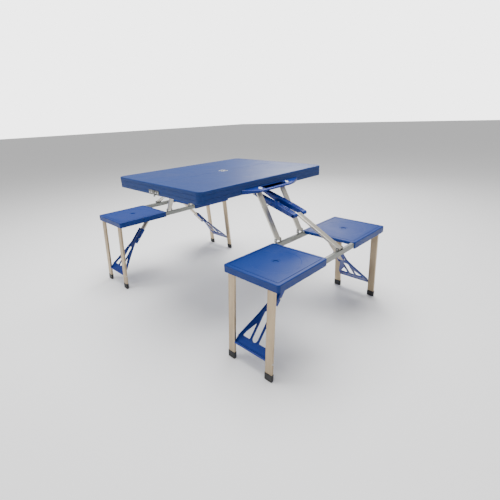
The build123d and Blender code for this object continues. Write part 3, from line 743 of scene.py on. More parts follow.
class Finishes:
    """Every finish of the table, built once."""

    def __init__(self) -> None:
        """Builds the materials."""
        strut_slant, brace_slant, arm_slant = math.radians(61.24), math.radians(48.25), math.radians(28.4)
        cream, shade = (0.80, 0.77, 0.69), (0.52, 0.48, 0.40)
        beige, brown = (0.56, 0.45, 0.31), (0.34, 0.26, 0.17)
        self.top = MouldedPlastic("top_plastic", (0.004, 0.028, 0.150), (0.012, 0.046, 0.190), 0.40).material()
        self.seat = MouldedPlastic("seat_plastic", (0.001, 0.024, 0.170), (0.003, 0.034, 0.195), 0.42).material()
        self.moulding = MouldedPlastic("moulded_plastic", (0.001, 0.022, 0.210), (0.004, 0.034, 0.250), 0.34,
                                       coat=0.2, pebble=0.12).material()
        self.leg = DrawnTube("leg_tube", beige, brown, 0.42, (0, math.radians(90), 0)).material()
        self.strut = DrawnTube("strut_tube", cream, shade, 0.36, (0, strut_slant, 0)).material()
        self.arm = DrawnTube("arm_tube", cream, shade, 0.34, (0, arm_slant, 0)).material()
        self.brace = DrawnTube("brace_tube", beige, shade, 0.4, (0, 0, brace_slant)).material()
        self.rail = DrawnTube("rail_tube", (0.30, 0.31, 0.29), (0.16, 0.165, 0.155), 0.42,
                              (0, 0, math.radians(90))).material()
        self.steel = ZincSteel().material()
        self.dull = ZincSteel("dull_steel", (0.30, 0.30, 0.29), (0.12, 0.12, 0.11), 0.4).material()
        self.bright = ZincSteel("bright_steel", (0.93, 0.94, 0.96), (0.80, 0.82, 0.85), 0.3).material()
        self.rubber = CapRubber().material()


# --- Sub-assemblies ----------------------------------------------------------------------------


@dataclass
class TubeMaker:
    """Makes flat-oval tubes with open ends."""

    corner: float = 3.0 * MM
    wall: float = 1.5 * MM
    open_depth: float = 60 * MM

    def make(self, name: str, place: Matrix, width: float, thickness: float, span: Point) -> bpy.types.Object:
        """Makes a tube along local X.

        Args:
            name: The object's name.
            place: The placement of the tube's local frame, with Y across its width and Z its thickness.
            width: Its width.
            thickness: Its thickness.
            span: Where it starts and stops along local X.

        Returns:
            The tube.
        """
        bm = bmesh.new()
        rounded_slab(bm, (width, thickness), self.corner, span[1] - span[0])
        bmesh.ops.rotate(bm, cent=(0, 0, 0), matrix=Matrix(((0, 0, 1), (1, 0, 0), (0, 1, 0))), verts=bm.verts[:])
        bmesh.ops.translate(bm, vec=(span[0], 0, 0), verts=bm.verts[:])
        bm.normal_update()
        for face in [f for f in bm.faces if abs(f.normal.x) > 0.99]:
            inward = -face.normal.copy() * min(self.open_depth, (span[1] - span[0]) / 3)
            bmesh.ops.inset_region(bm, faces=[face], thickness=self.wall)
            made = bmesh.ops.extrude_discrete_faces(bm, faces=[face])["faces"]
            bmesh.ops.translate(bm, vec=inward, verts=made[0].verts[:])
        bmesh.ops.transform(bm, matrix=place, verts=bm.verts[:])
        piece = make_object(name, bm)
        soften(piece, 0.35 * MM)
        return piece


@dataclass
class TableTop:
    """The two half tops with their skirts, ribs and carrying handles."""

    corner: float = 30 * MM
    edge: float = 4.5 * MM
    wall: float = 3.5 * MM
    plate: float = 3 * MM
    groove: float = 3 * MM
    groove_depth: float = 1 * MM
    groove_drops: tuple[float, float] = (15 * MM, 34 * MM)
    hole: float = 20 * MM
    collar_wall: float = 5 * MM
    eyelet_flange: float = 4.5 * MM
    eyelet_lap: float = 0.5 * MM
    eyelet_sheet: float = 0.5 * MM
    collar_length: float = 20 * MM
    handle_reach: float = 38 * MM
    handle_half: float = 200 * MM
    handle_straight: float = 112 * MM
    handle_thickness: float = 8 * MM
    handle_rise: float = 12 * MM
    handle_bend: float = 45 * MM
    handle_sweep: tuple[float, float, float] = (9 * MM, 26 * MM, 14 * MM)
    lip_width: float = 3 * MM
    lip_rise: float = 0.9 * MM
    slot_offset: float = 16 * MM
    slot_half: float = 80 * MM
    slot_width: float = 24 * MM
    button_y: float = 96 * MM
    button: float = 10 * MM
    button_heights: Point = (2.6 * MM, 3.6 * MM)
    button_tapers: Point = (0.8 * MM, 3.2 * MM)
    seam_gap: float = 0.25 * MM
    border: float = 9 * MM
    border_step: Point = (0.8 * MM, -0.5 * MM)
    ribs: tuple[int, float, float] = (5, 9 * MM, 2.5 * MM)
    rib_lap: float = 0.2 * MM

    def build(self, finishes: Finishes) -> None:
        """Makes the right half and mirrors it."""
        low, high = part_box("tray_right")
        self.floor, self.ceiling = low.z, high.z
        self.out, self.end = high.x - self.handle_reach, high.y
        shell = self.shell()
        self.cut_grooves(shell)
        self.cut_pole_hole(shell)
        soften(shell, 0.5 * MM)
        fit_out(shell, "top_shell", "tray", "{side}_half", finishes.top, ends=False)
        fit_out(self.eyelet(), "pole_eyelet", "", "{side}_half", finishes.bright, ends=False)
        fit_out(self.underside(), "top_ribs", "", "{side}_half", finishes.top, ends=False)
        fit_out(self.handle(finishes), "carry_handle", "", "{side}_half", finishes.moulding, ends=False)

    def shell(self) -> bpy.types.Object:
        """Makes the plate and skirt, with a shallow border line round the plate."""
        bm = bmesh.new()
        grid = bmesh.ops.create_grid(bm, x_segments=1, y_segments=1, size=0.5)["verts"]
        bmesh.ops.scale(bm, vec=(self.out - self.seam_gap, 2 * self.end, 1), verts=grid)
        bmesh.ops.translate(bm, vec=((self.out + self.seam_gap) / 2, 0, self.floor), verts=grid)
        outer = [v for v in bm.verts if v.co.x > self.out / 2]
        bmesh.ops.bevel(bm, geom=outer, offset=self.corner, segments=12, profile=0.5, affect="VERTICES", material=-1)
        bm.faces.ensure_lookup_table()
        raise_face(bm, bm.faces[0], Vector((0, 0, self.ceiling - self.floor)))
        rim = [e for e in bm.edges if all(abs(v.co.z - self.ceiling) < MM for v in e.verts)
               and max(v.co.x for v in e.verts) > self.seam_gap + MM]
        bmesh.ops.bevel(bm, geom=rim, offset=self.edge, segments=5, profile=0.5, affect="EDGES", material=-1)
        bm.normal_update()
        under = [f for f in bm.faces if f.normal.z < -0.9]
        bmesh.ops.inset_region(bm, faces=under, thickness=self.wall)
        self.push(bm, under, Vector((0, 0, self.ceiling - self.plate - self.floor)))
        top = [f for f in bm.faces if f.normal.z > FACING and f.calc_center_median().z > self.ceiling - LEVEL_MARGIN]
        bmesh.ops.inset_region(bm, faces=top, thickness=self.border)
        bmesh.ops.inset_region(bm, faces=top, thickness=self.border_step[0], depth=self.border_step[1])
        return make_object("shell_master", bm)

    def push(self, bm: bmesh.types.BMesh, faces: list[bmesh.types.BMFace], step: Vector) -> None:
        """Extrudes faces that stay closed at their sides."""
        made = bmesh.ops.extrude_face_region(bm, geom=faces)["geom"]
        bmesh.ops.translate(bm, vec=step, verts=[v for v in made if isinstance(v, bmesh.types.BMVert)])
        bmesh.ops.delete(bm, geom=[f for f in faces if f.is_valid], context="FACES_ONLY")

    def cut_grooves(self, shell: bpy.types.Object) -> None:
        """Presses two level grooves round the skirt."""
        bm = bmesh.new()
        bm.from_mesh(shell.data)
        for drop in self.groove_drops:
            levels = (self.ceiling - drop, self.ceiling - drop - self.groove)
            for level in levels:
                bmesh.ops.bisect_plane(bm, geom=bm.verts[:] + bm.edges[:] + bm.faces[:], dist=CUT_TOLERANCE,
                                       plane_co=(0, 0, level), plane_no=(0, 0, 1))
            bm.normal_update()
            band = [f for f in bm.faces if levels[1] < f.calc_center_median().z < levels[0]
                    and self.is_outside(f)]
            bmesh.ops.inset_region(bm, faces=band, thickness=0.5 * MM, depth=-self.groove_depth)
        bm.to_mesh(shell.data)
        bm.free()

    def is_outside(self, face: bmesh.types.BMFace) -> bool:
        """Tells whether a skirt face looks out of the table, and not at the seam or the hollow."""
        place, normal = face.calc_center_median(), face.normal
        middle = Vector((self.out / 2, 0, place.z))
        return abs(normal.z) < 0.1 and normal.x > -0.1 and (place - middle).dot(normal) > 0 and (
            place.x > self.out - self.corner * 1.1 or abs(place.y) > self.end - MM)

    def cut_pole_hole(self, shell: bpy.types.Object) -> None:
        """Adds the collar's half and cuts the parasol hole through it."""
        bm = bmesh.new()
        add_drum(bm, self.hole + self.collar_wall, (Vector((0, 0, self.ceiling - self.collar_length)),
                                                    Vector((0, 0, self.ceiling - self.plate / 2))), FINE_STEPS)
        collar = make_object("collar_master", bm)
        carve(collar, self.far_side())
        bm = bmesh.new()
        bm.from_mesh(shell.data)
        bm.from_mesh(collar.data)
        bpy.data.objects.remove(collar)
        bm.to_mesh(shell.data)
        bm.free()
        carve(shell, self.pole_space(self.hole))

    def far_side(self) -> bpy.types.Object:
        """Makes the space past the seam, which cuts a round piece to its half."""
        bm = bmesh.new()
        add_box(bm, Vector((-SPAN, -SPAN, 0)), Vector((self.seam_gap, SPAN, 1)))
        return make_object("far_side", bm)

    def pole_space(self, radius: float) -> bpy.types.Object:
        """Makes the space that a round pole takes through the top."""
        bm = bmesh.new()
        add_drum(bm, radius, (Vector((0, 0, self.floor)), Vector((0, 0, self.ceiling + OVERCUT))), FINE_STEPS)
        return make_object("pole_space", bm)

    def eyelet(self) -> bpy.types.Object:
        """Makes one half of the bright eyelet that lines the pole hole."""
        level = self.ceiling - LEVEL_MARGIN
        parts = []
        for name, radius, foot in (("sleeve", self.hole + self.eyelet_lap, self.ceiling - self.collar_length),
                                   ("flange", self.hole + self.eyelet_flange, level - self.eyelet_sheet)):
            bm = bmesh.new()
            add_drum(bm, radius, (Vector((0, 0, foot)), Vector((0, 0, level))), FINE_STEPS)
            parts.append(make_object(name, bm))
        for part in parts:
            carve(part, self.pole_space(self.hole - MM))
            carve(part, self.far_side())
        piece = joined("eyelet_master", parts)
        soften(piece, 0)
        return piece

    def underside(self) -> bpy.types.Object:
        """Makes the ribs under the plate, across each stowed seat."""
        count, depth, thickness = self.ribs
        seat_low, seat_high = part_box("seat_right_back")
        pitch = (seat_high.y - seat_low.y) / count
        top = self.ceiling - self.plate + self.rib_lap
        bm = bmesh.new()
        for index in range(count):
            y = seat_low.y + pitch * (index + 0.5)
            for side in (-1, 1):
                add_box(bm, Vector((self.wall, side * y - thickness / 2, top - depth)),
                        Vector((self.out - self.wall + self.rib_lap, side * y + thickness / 2, top)))
        ribs = make_object("ribs_master", bm)
        soften(ribs, 0.6 * MM)
        return ribs

    def handle(self, finishes: Finishes) -> bpy.types.Object:
        """Makes the handle's flange with its finger slot, a raised lip and two studs."""
        out = self.out + self.handle_reach
        root = self.out - self.wall
        sweep, after, before = self.handle_sweep
        corners = [(root, self.handle_half), (root, -self.handle_half), (self.out + 2 * MM, -self.handle_half),
                   (out - sweep, -self.handle_straight - after), (out, -self.handle_straight + before),
                   (out, self.handle_straight - before), (out - sweep, self.handle_straight + after),
                   (self.out + 2 * MM, self.handle_half)]
        bend = self.handle_bend
        outer = rounded_outline(corners, [0, 0, 1 * MM, bend, bend, bend, bend, 1 * MM], 8)
        x = self.out + self.slot_offset
        half = self.slot_width / 2
        slot = self.slot(x, half, self.slot_half)
        lip = self.slot(x, half + self.lip_width, self.slot_half + self.lip_width)
        level = self.floor + self.handle_thickness / 2
        place = Matrix.Translation((0, 0, level))
        lipped = Matrix.Translation((0, 0, level + self.lip_rise))
        flange = plate("flange", [outer, slot], self.handle_thickness, 2.2 * MM, place)
        edging = plate("edging", [lip, slot], self.handle_thickness, 1.4 * MM, lipped)
        studs = self.studs(x)
        piece = joined("handle_master", [flange, edging])
        for part in (piece, studs):
            for vertex in part.data.vertices:
                if vertex.co.z > level:
                    vertex.co.z += self.handle_rise * (out - vertex.co.x) / self.handle_reach
        soften(piece, 0)
        fit_out(studs, "handle_studs", "", "{side}_half", finishes.bright, ends=False)
        return piece

    def studs(self, x: float) -> bpy.types.Object:
        """Makes the two stepped studs on the handle, which stand at a distance along X."""
        bm = bmesh.new()
        lower, upper = (Vector((0, 0, height)) for height in self.button_heights)
        shoulder, crown = (self.button - taper for taper in self.button_tapers)
        for side in (-1, 1):
            foot = Vector((x, side * self.button_y, self.floor + self.handle_thickness - MM))
            add_drum(bm, self.button, (foot, foot + lower), far_radius=shoulder)
            add_drum(bm, shoulder, (foot + lower, foot + upper), far_radius=crown)
        studs = make_object("studs_master", bm)
        soften(studs, 0)
        return studs

    def slot(self, x: float, half_width: float, half_length: float) -> list[Point]:
        """Gives the outline of a slot along Y with round ends."""
        corners = [(x - half_width, -half_length), (x + half_width, -half_length), (x + half_width, half_length),
                   (x - half_width, half_length)]
        return rounded_outline(corners, half_width * 0.98, 8)


@dataclass
class Seats:
    """The four moulded seats."""

    corner: float = 12 * MM
    edge: float = 4 * MM
    wall: float = 3.5 * MM
    plate: float = 3.5 * MM
    border: float = 15 * MM
    groove: float = 2.6 * MM
    groove_depth: float = 1.3 * MM
    hole: float = 13 * MM
    cup: Point = (15 * MM, 5 * MM)
    border_radii: Point = (7 * MM, 5 * MM)
    ring_depth: float = 1.6 * MM
    ring: float = 21 * MM
    dish: float = 105 * MM
    dish_depth: float = 0.8 * MM
    notch_level: float = 14.3 * MM
    rail_notch: float = 15.6 * MM

    def build(self, finishes: Finishes) -> None:
        """Makes the right back seat and mirrors it."""
        self.low, self.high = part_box("seat_right_back")
        self.middle = (self.low + self.high) / 2
        seat = self.shell()
        self.cut_border(seat)
        self.cut_dish(seat)
        self.cut_notches(seat)
        soften(seat, 0.5 * MM)
        fit_out(seat, "seat_shell", "seat", "bench_{side}", finishes.seat, ends=True)

    def shell(self) -> bpy.types.Object:
        """Makes the plate with its rim, hollowed out from below."""
        size = self.high - self.low
        bm = bmesh.new()
        rounded_slab(bm, (size.x, size.y), self.corner, size.z, 8)
        bmesh.ops.translate(bm, vec=(self.middle.x, self.middle.y, self.low.z), verts=bm.verts[:])
        rim = [e for e in bm.edges if all(v.co.z > self.high.z - MM for v in e.verts)]
        bmesh.ops.bevel(bm, geom=rim, offset=self.edge, segments=5, profile=0.5, affect="EDGES", material=-1)
        bm.normal_update()
        under = [f for f in bm.faces if f.normal.z < -0.99]
        bmesh.ops.inset_region(bm, faces=under, thickness=self.wall)
        TableTop().push(bm, under, Vector((0, 0, size.z - self.plate)))
        return make_object("seat_master", bm)

    def cut_border(self, seat: bpy.types.Object) -> None:
        """Presses the groove that runs inside the seat's edge."""
        outlines = []
        for inset, radius in zip((self.border, self.border + self.groove), self.border_radii):
            low_x, high_x, low_y, high_y = (self.low.x + inset, self.high.x - inset, self.low.y + inset,
                                            self.high.y - inset)
            corners = [(low_x, low_y), (high_x, low_y), (high_x, high_y), (low_x, high_y)]
            outlines.append(rounded_outline(corners, radius, ARC_STEPS))
        place = Matrix.Translation((0, 0, self.high.z))
        carve(seat, joined("border_space", [plate("border", outlines, 2 * self.groove_depth, 0.3 * MM, place)]))

    def cut_dish(self, seat: bpy.types.Object) -> None:
        """Presses the round dish and the ring, and sinks the centre hole into a shallow cup."""
        centre = Vector((self.middle.x, self.middle.y, self.high.z))
        bm = bmesh.new()
        bm.from_mesh(seat.data)
        cup_radius, cup_depth = self.cup
        ends = (centre - Vector((0, 0, cup_depth)), centre - Vector((0, 0, self.plate * 0.6)))
        add_drum(bm, cup_radius, ends, DISC_STEPS)
        bm.to_mesh(seat.data)
        bm.free()
        sinks = ((self.dish - 2 * MM, self.dish + 2 * MM, self.dish_depth, 2 * DISC_STEPS),
                 (self.ring, self.ring + 2 * MM, self.ring_depth, DISC_STEPS),
                 (self.hole, self.hole, cup_depth - MM, DISC_STEPS))
        for radius, far_radius, depth, steps in sinks:
            bm = bmesh.new()
            add_drum(bm, radius, (centre - Vector((0, 0, depth)), centre + Vector((0, 0, depth))), steps, far_radius)
            carve(seat, make_object("dish_space", bm))

    def cut_notches(self, seat: bpy.types.Object) -> None:
        """Opens the inner wall for the rails and for the folded legs."""
        inner_low, inner_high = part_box("inner_rail_right")
        outer_low, outer_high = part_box("outer_rail_right")
        bm = bmesh.new()
        slack = (self.rail_notch - (inner_high.x - inner_low.x)) / 2
        near, far = self.low.y - MM, self.low.y + 3 * self.wall
        for low, high in ((inner_low, inner_high), (outer_low, outer_high)):
            add_box(bm, Vector((low.x - slack, near, self.low.z - MM)),
                    Vector((high.x + slack, far, high.z + LEVEL_MARGIN)))
        carve(seat, make_object("rail_space", bm))
        bm = bmesh.new()
        add_box(bm, Vector((inner_high.x - MM, near, self.low.z - 2 * MM)),
                Vector((outer_low.x + MM, far, self.high.z - self.notch_level)))
        carve(seat, make_object("leg_space", bm))


@dataclass
class Benches:
    """The rails, legs, caps and knee braces of both benches."""

    tubes: TubeMaker
    leg_splay: float = math.radians(4)
    leg_width: float = 36 * MM
    leg_thickness: float = 12 * MM
    leg_top: float = -5 * MM
    cap_wall: float = 1.5 * MM
    cap_height: float = 33 * MM
    brace_grip: float = 320 * MM
    tube_width: float = 32 * MM
    tube_thickness: float = 11 * MM
    tube_end: float = 4.5 * MM
    fan_length: float = 242.65 * MM
    fan_sheet: float = 3 * MM
    fan_rise: float = 7.31 * MM
    fan_rib: float = 5 * MM
    fan_neck: float = 34 * MM
    fan_band: float = 34 * MM
    sleeve: float = 68 * MM
    cheek: float = 4 * MM
    barrel: float = 5.5 * MM

    def build(self, finishes: Finishes) -> None:
        """Makes one of each piece and mirrors it."""
        self.find_places()
        for name, stem in (("inner_rail", "rail_inner"), ("outer_rail", "rail_outer")):
            fit_out(self.rail(name), stem, name, "bench_{side}", finishes.rail, ends=False)
        fit_out(self.legs(), "leg_tubes", "legs", "legs_{label}", finishes.leg, ends=True)
        fit_out(self.caps(), "foot_boots", "foot_caps", "legs_{label}", finishes.rubber, ends=True)
        fit_out(self.pin_heads(), "leg_pin_heads", "", "legs_{label}", finishes.steel, ends=True)
        fit_out(self.brace_tube(), "brace_bar", "brace_tube", "brace_tube_{label}", finishes.brace,
                ends=True)
        fit_out(self.fan(), "fan_body", "brace_fan", "brace_fan_{label}", finishes.moulding,
                ends=True)
        fit_out(self.fan_rivets(), "fan_rivets", "", "brace_fan_{label}", finishes.steel, ends=True)

    def find_places(self) -> None:
        """Takes hinge places and directions from the frame."""
        self.leg_hinge = joint_place("leg_fold_right_back")
        self.leg_down = Vector((0, math.sin(self.leg_splay), -math.cos(self.leg_splay)))
        self.leg_out = Vector((0, math.cos(self.leg_splay), math.sin(self.leg_splay)))
        rod, self.knee = joint_place("brace_swing_right_back"), joint_place("fan_swing_right_back")
        self.tube_length = (self.knee - rod).length
        self.brace_along = (self.knee - rod).normalized()
        self.brace_out = Vector((0, -self.brace_along.z, self.brace_along.y))
        self.rod = rod
        legs_low, legs_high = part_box("legs_right_back")
        half = self.leg_width / 2
        self.leg_xs = (legs_low.x + half, legs_high.x - half)
        fan_low, fan_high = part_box("brace_fan_right_back")
        self.fan_half = (fan_high.x - fan_low.x) / 2

    def rail(self, node: str) -> bpy.types.Object:
        """Makes one rail as a rectangular tube with open ends."""
        low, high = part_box(node + "_right")
        middle = (low + high) / 2
        place = plane_matrix(Vector((middle.x, 0, middle.z)), Vector((0, 1, 0)), Vector((0, 0, 1)))
        maker = TubeMaker(corner=1.6 * MM)
        return maker.make("rail_master", place, high.x - low.x, high.z - low.z, (low.y, high.y))

    def leg_frame(self, x: float) -> Matrix:
        """Gives the frame of a leg: local X down it, Y across it and Z outwards."""
        return plane_matrix(Vector((x, self.leg_hinge.y, self.leg_hinge.z)), self.leg_down, self.leg_out)

    def legs(self) -> bpy.types.Object:
        """Makes the two legs of one seat."""
        length = (self.leg_hinge.z - 4.4 * MM) / math.cos(self.leg_splay)
        bars = [self.tubes.make("leg", self.leg_frame(x), self.leg_width, self.leg_thickness, (self.leg_top, length))
                for x in self.leg_xs]
        piece = joined("legs_master", bars)
        soften(piece, 0.35 * MM)
        return piece

    def caps(self) -> bpy.types.Object:
        """Makes the boots on one seat's legs, cut level with the ground and bevelled all round."""
        length = self.leg_hinge.z / math.cos(self.leg_splay)
        wide = self.leg_width + 2 * self.cap_wall
        thick = self.leg_thickness + 2 * self.cap_wall
        boots = []
        for x in self.leg_xs:
            bm = bmesh.new()
            rounded_slab(bm, (wide, thick), 4 * MM, self.cap_height + 4 * MM, 5)
            bmesh.ops.rotate(bm, cent=(0, 0, 0), matrix=Matrix(((0, 0, 1), (1, 0, 0), (0, 1, 0))), verts=bm.verts[:])
            bmesh.ops.translate(bm, vec=(length - self.cap_height, 0, 0), verts=bm.verts[:])
            bmesh.ops.transform(bm, matrix=self.leg_frame(x), verts=bm.verts[:])
            cut = bmesh.ops.bisect_plane(bm, geom=bm.verts[:] + bm.edges[:] + bm.faces[:], dist=CUT_TOLERANCE,
                                         plane_co=(0, 0, 0), plane_no=(0, 0, -1), clear_outer=True)
            rim = [e for e in cut["geom_cut"] if isinstance(e, bmesh.types.BMEdge)]
            bmesh.ops.contextual_create(bm, geom=rim)
            bm.normal_update()
            sole = [e for e in bm.edges if all(abs(v.co.z) < 0.01 * MM for v in e.verts)]
            bmesh.ops.bevel(bm, geom=sole, offset=4.5 * MM, segments=2, profile=0.6, affect="EDGES", material=-1)
            boots.append(make_object("boot", bm))
        piece = joined("boots_master", boots)
        soften(piece, 0.8 * MM, 3)
        return piece

    def pin_heads(self) -> bpy.types.Object:
        """Makes the domed heads of the pins that hold the fan between the legs."""
        pin = self.leg_hinge + self.leg_down * self.brace_grip
        bm = bmesh.new()
        for x, side in zip(self.leg_xs, (-1, 1)):
            face = Vector((x + side * self.leg_width / 2, pin.y, pin.z))
            self.dome(bm, face - Vector((side * 0.3 * MM, 0, 0)), Vector((side, 0, 0)), 4.5 * MM)
        piece = make_object("heads_master", bm)
        soften(piece, 0)
        return piece

    def dome(self, bm: bmesh.types.BMesh, foot: Vector, out: Vector, radius: float) -> None:
        """Adds a domed rivet head.

        Args:
            bm: The mesh to add to.
            foot: The middle of the face that it sits on.
            out: The direction that it stands out in.
            radius: Its radius.
        """
        levels = ((0.0, 1.0), (0.25, 0.97), (0.4, 0.8), (0.5, 0.5))
        for (low, wide), (high, narrow) in zip(levels, levels[1:]):
            add_drum(bm, radius * wide, (foot + out * radius * low, foot + out * radius * high), 24, radius * narrow)

    def brace_frame(self, height: float = 0.0) -> Matrix:
        """Gives the frame of the knee: local X down the brace and Z outwards, at a height."""
        return plane_matrix(self.knee + self.brace_out * height, self.brace_along, self.brace_out)

    def brace_tube(self) -> bpy.types.Object:
        """Makes the tube from the brace rod to the knee."""
        return self.tubes.make("brace_master", self.brace_frame(), self.tube_width, self.tube_thickness,
                               (-self.tube_length - self.tube_end, self.tube_end))

    def fan_corners(self, inset: float) -> list[Point]:
        """Gives the fan's outline, inset all round, with flanks that curve out to its wide end."""
        neck = self.tube_width / 2 + 0.3 * MM + self.cheek - inset
        wide = self.fan_half - inset
        stop = self.fan_length - inset
        band = self.fan_length - self.fan_band
        waist = self.fan_neck + 60 * MM
        bow = neck + (wide - neck) * 0.30
        start = -self.sleeve + inset
        half = [(start, neck), (self.fan_neck, neck), (waist, bow), (band, wide), (stop, wide)]
        return half + [(x, -y) for x, y in reversed(half)]

    def fan(self) -> bpy.types.Object:
        """Makes the fan: a pierced plate with a rim, ribs beside its slot, a sleeve and a barrel."""
        openings = self.fan_openings(0)
        rims = self.fan_openings(3 * MM)
        radii = [3 * MM, 40 * MM, 90 * MM, 12 * MM, 5 * MM]
        outer = rounded_outline(self.fan_corners(0), radii + radii[::-1], ARC_STEPS)
        inner_radii = [2 * MM, 40 * MM, 90 * MM, 10 * MM, 3 * MM]
        inner = rounded_outline(self.fan_corners(3.2 * MM), inner_radii + inner_radii[::-1], ARC_STEPS)
        sheet = self.brace_frame(self.fan_rise + self.fan_sheet / 2)
        ribs = self.brace_frame(self.fan_rise + (self.fan_sheet + self.fan_rib) / 2)
        tall = self.fan_sheet + self.fan_rib
        parts = [plate("fan_sheet", [outer, *openings], self.fan_sheet, 0.6 * MM, sheet),
                 plate("fan_rim", [outer, inner], tall, 0.9 * MM, ribs)]
        for index, (hole, rim) in enumerate(zip(openings, rims)):
            parts.append(plate(f"fan_lip_{index}", [rim, hole], tall - 1.5 * MM, 0.7 * MM,
                               self.brace_frame(self.fan_rise + (tall - 1.5 * MM) / 2)))
        parts.append(self.fan_sleeve())
        piece = joined("fan_master", parts)
        soften(piece, 0)
        return piece

    def fan_openings(self, grow: float) -> list[list[Point]]:
        """Gives the slot and the two side openings of the fan, grown all round."""
        start = self.fan_neck + 32 * MM
        stop = self.fan_length - self.fan_band - 2 * MM
        half = 15 * MM + grow
        slot = [(start - grow, -half), (stop + grow, -half), (stop + grow, half), (start - grow, half)]
        side_start, side_stop = start + 58 * MM, stop - 4 * MM
        near = 24 * MM - grow
        far = self.fan_half - 19 * MM + grow
        side = [(side_start - 1.6 * grow, near), (side_stop + grow, near), (side_stop + grow, far),
                (side_stop - 22 * MM, far - 9 * MM)]
        outlines = [rounded_outline(slot, half * 0.98, 7)]
        for sign in (1, -1):
            outlines.append(rounded_outline([(x, sign * y) for x, y in side], 4 * MM, 4))
        return outlines

    def fan_sleeve(self) -> bpy.types.Object:
        """Makes the sleeve's cheeks and the barrel across the wide end."""
        bm = bmesh.new()
        top = self.fan_rise + self.fan_sheet
        bottom = -self.tube_thickness / 2 - MM
        inside = self.tube_width / 2 + 0.3 * MM
        for side in (-1, 1):
            ys = sorted((side * inside, side * (inside + self.cheek)))
            add_box(bm, Vector((-self.sleeve, ys[0], bottom)), Vector((self.fan_neck, ys[1], top + 2 * MM)))
        pin = self.leg_hinge + self.leg_down * self.brace_grip
        local = self.brace_frame().inverted() @ Vector((self.knee.x, pin.y, pin.z))
        reach = self.fan_half
        add_drum(bm, self.barrel, (Vector((local.x, -reach, local.z)), Vector((local.x, reach, local.z))), PIN_STEPS)
        bmesh.ops.transform(bm, matrix=self.brace_frame(), verts=bm.verts[:])
        return make_object("sleeve", bm)

    def fan_rivets(self) -> bpy.types.Object:
        """Makes the domed heads on the fan's sleeve."""
        bm = bmesh.new()
        face = self.tube_width / 2 + 0.3 * MM + self.cheek - 0.3 * MM
        for side in (-1, 1):
            self.dome(bm, self.knee + Vector((side * face, 0, 0)), Vector((side, 0, 0)), 4.5 * MM)
        plate_top = self.brace_out * (self.fan_rise + self.fan_sheet - 0.3 * MM)
        for along in (-52 * MM, -8 * MM):
            self.dome(bm, self.knee + self.brace_along * along + plate_top, self.brace_out, 3.6 * MM)
        piece = make_object("rivets_master", bm)
        soften(piece, 0)
        return piece


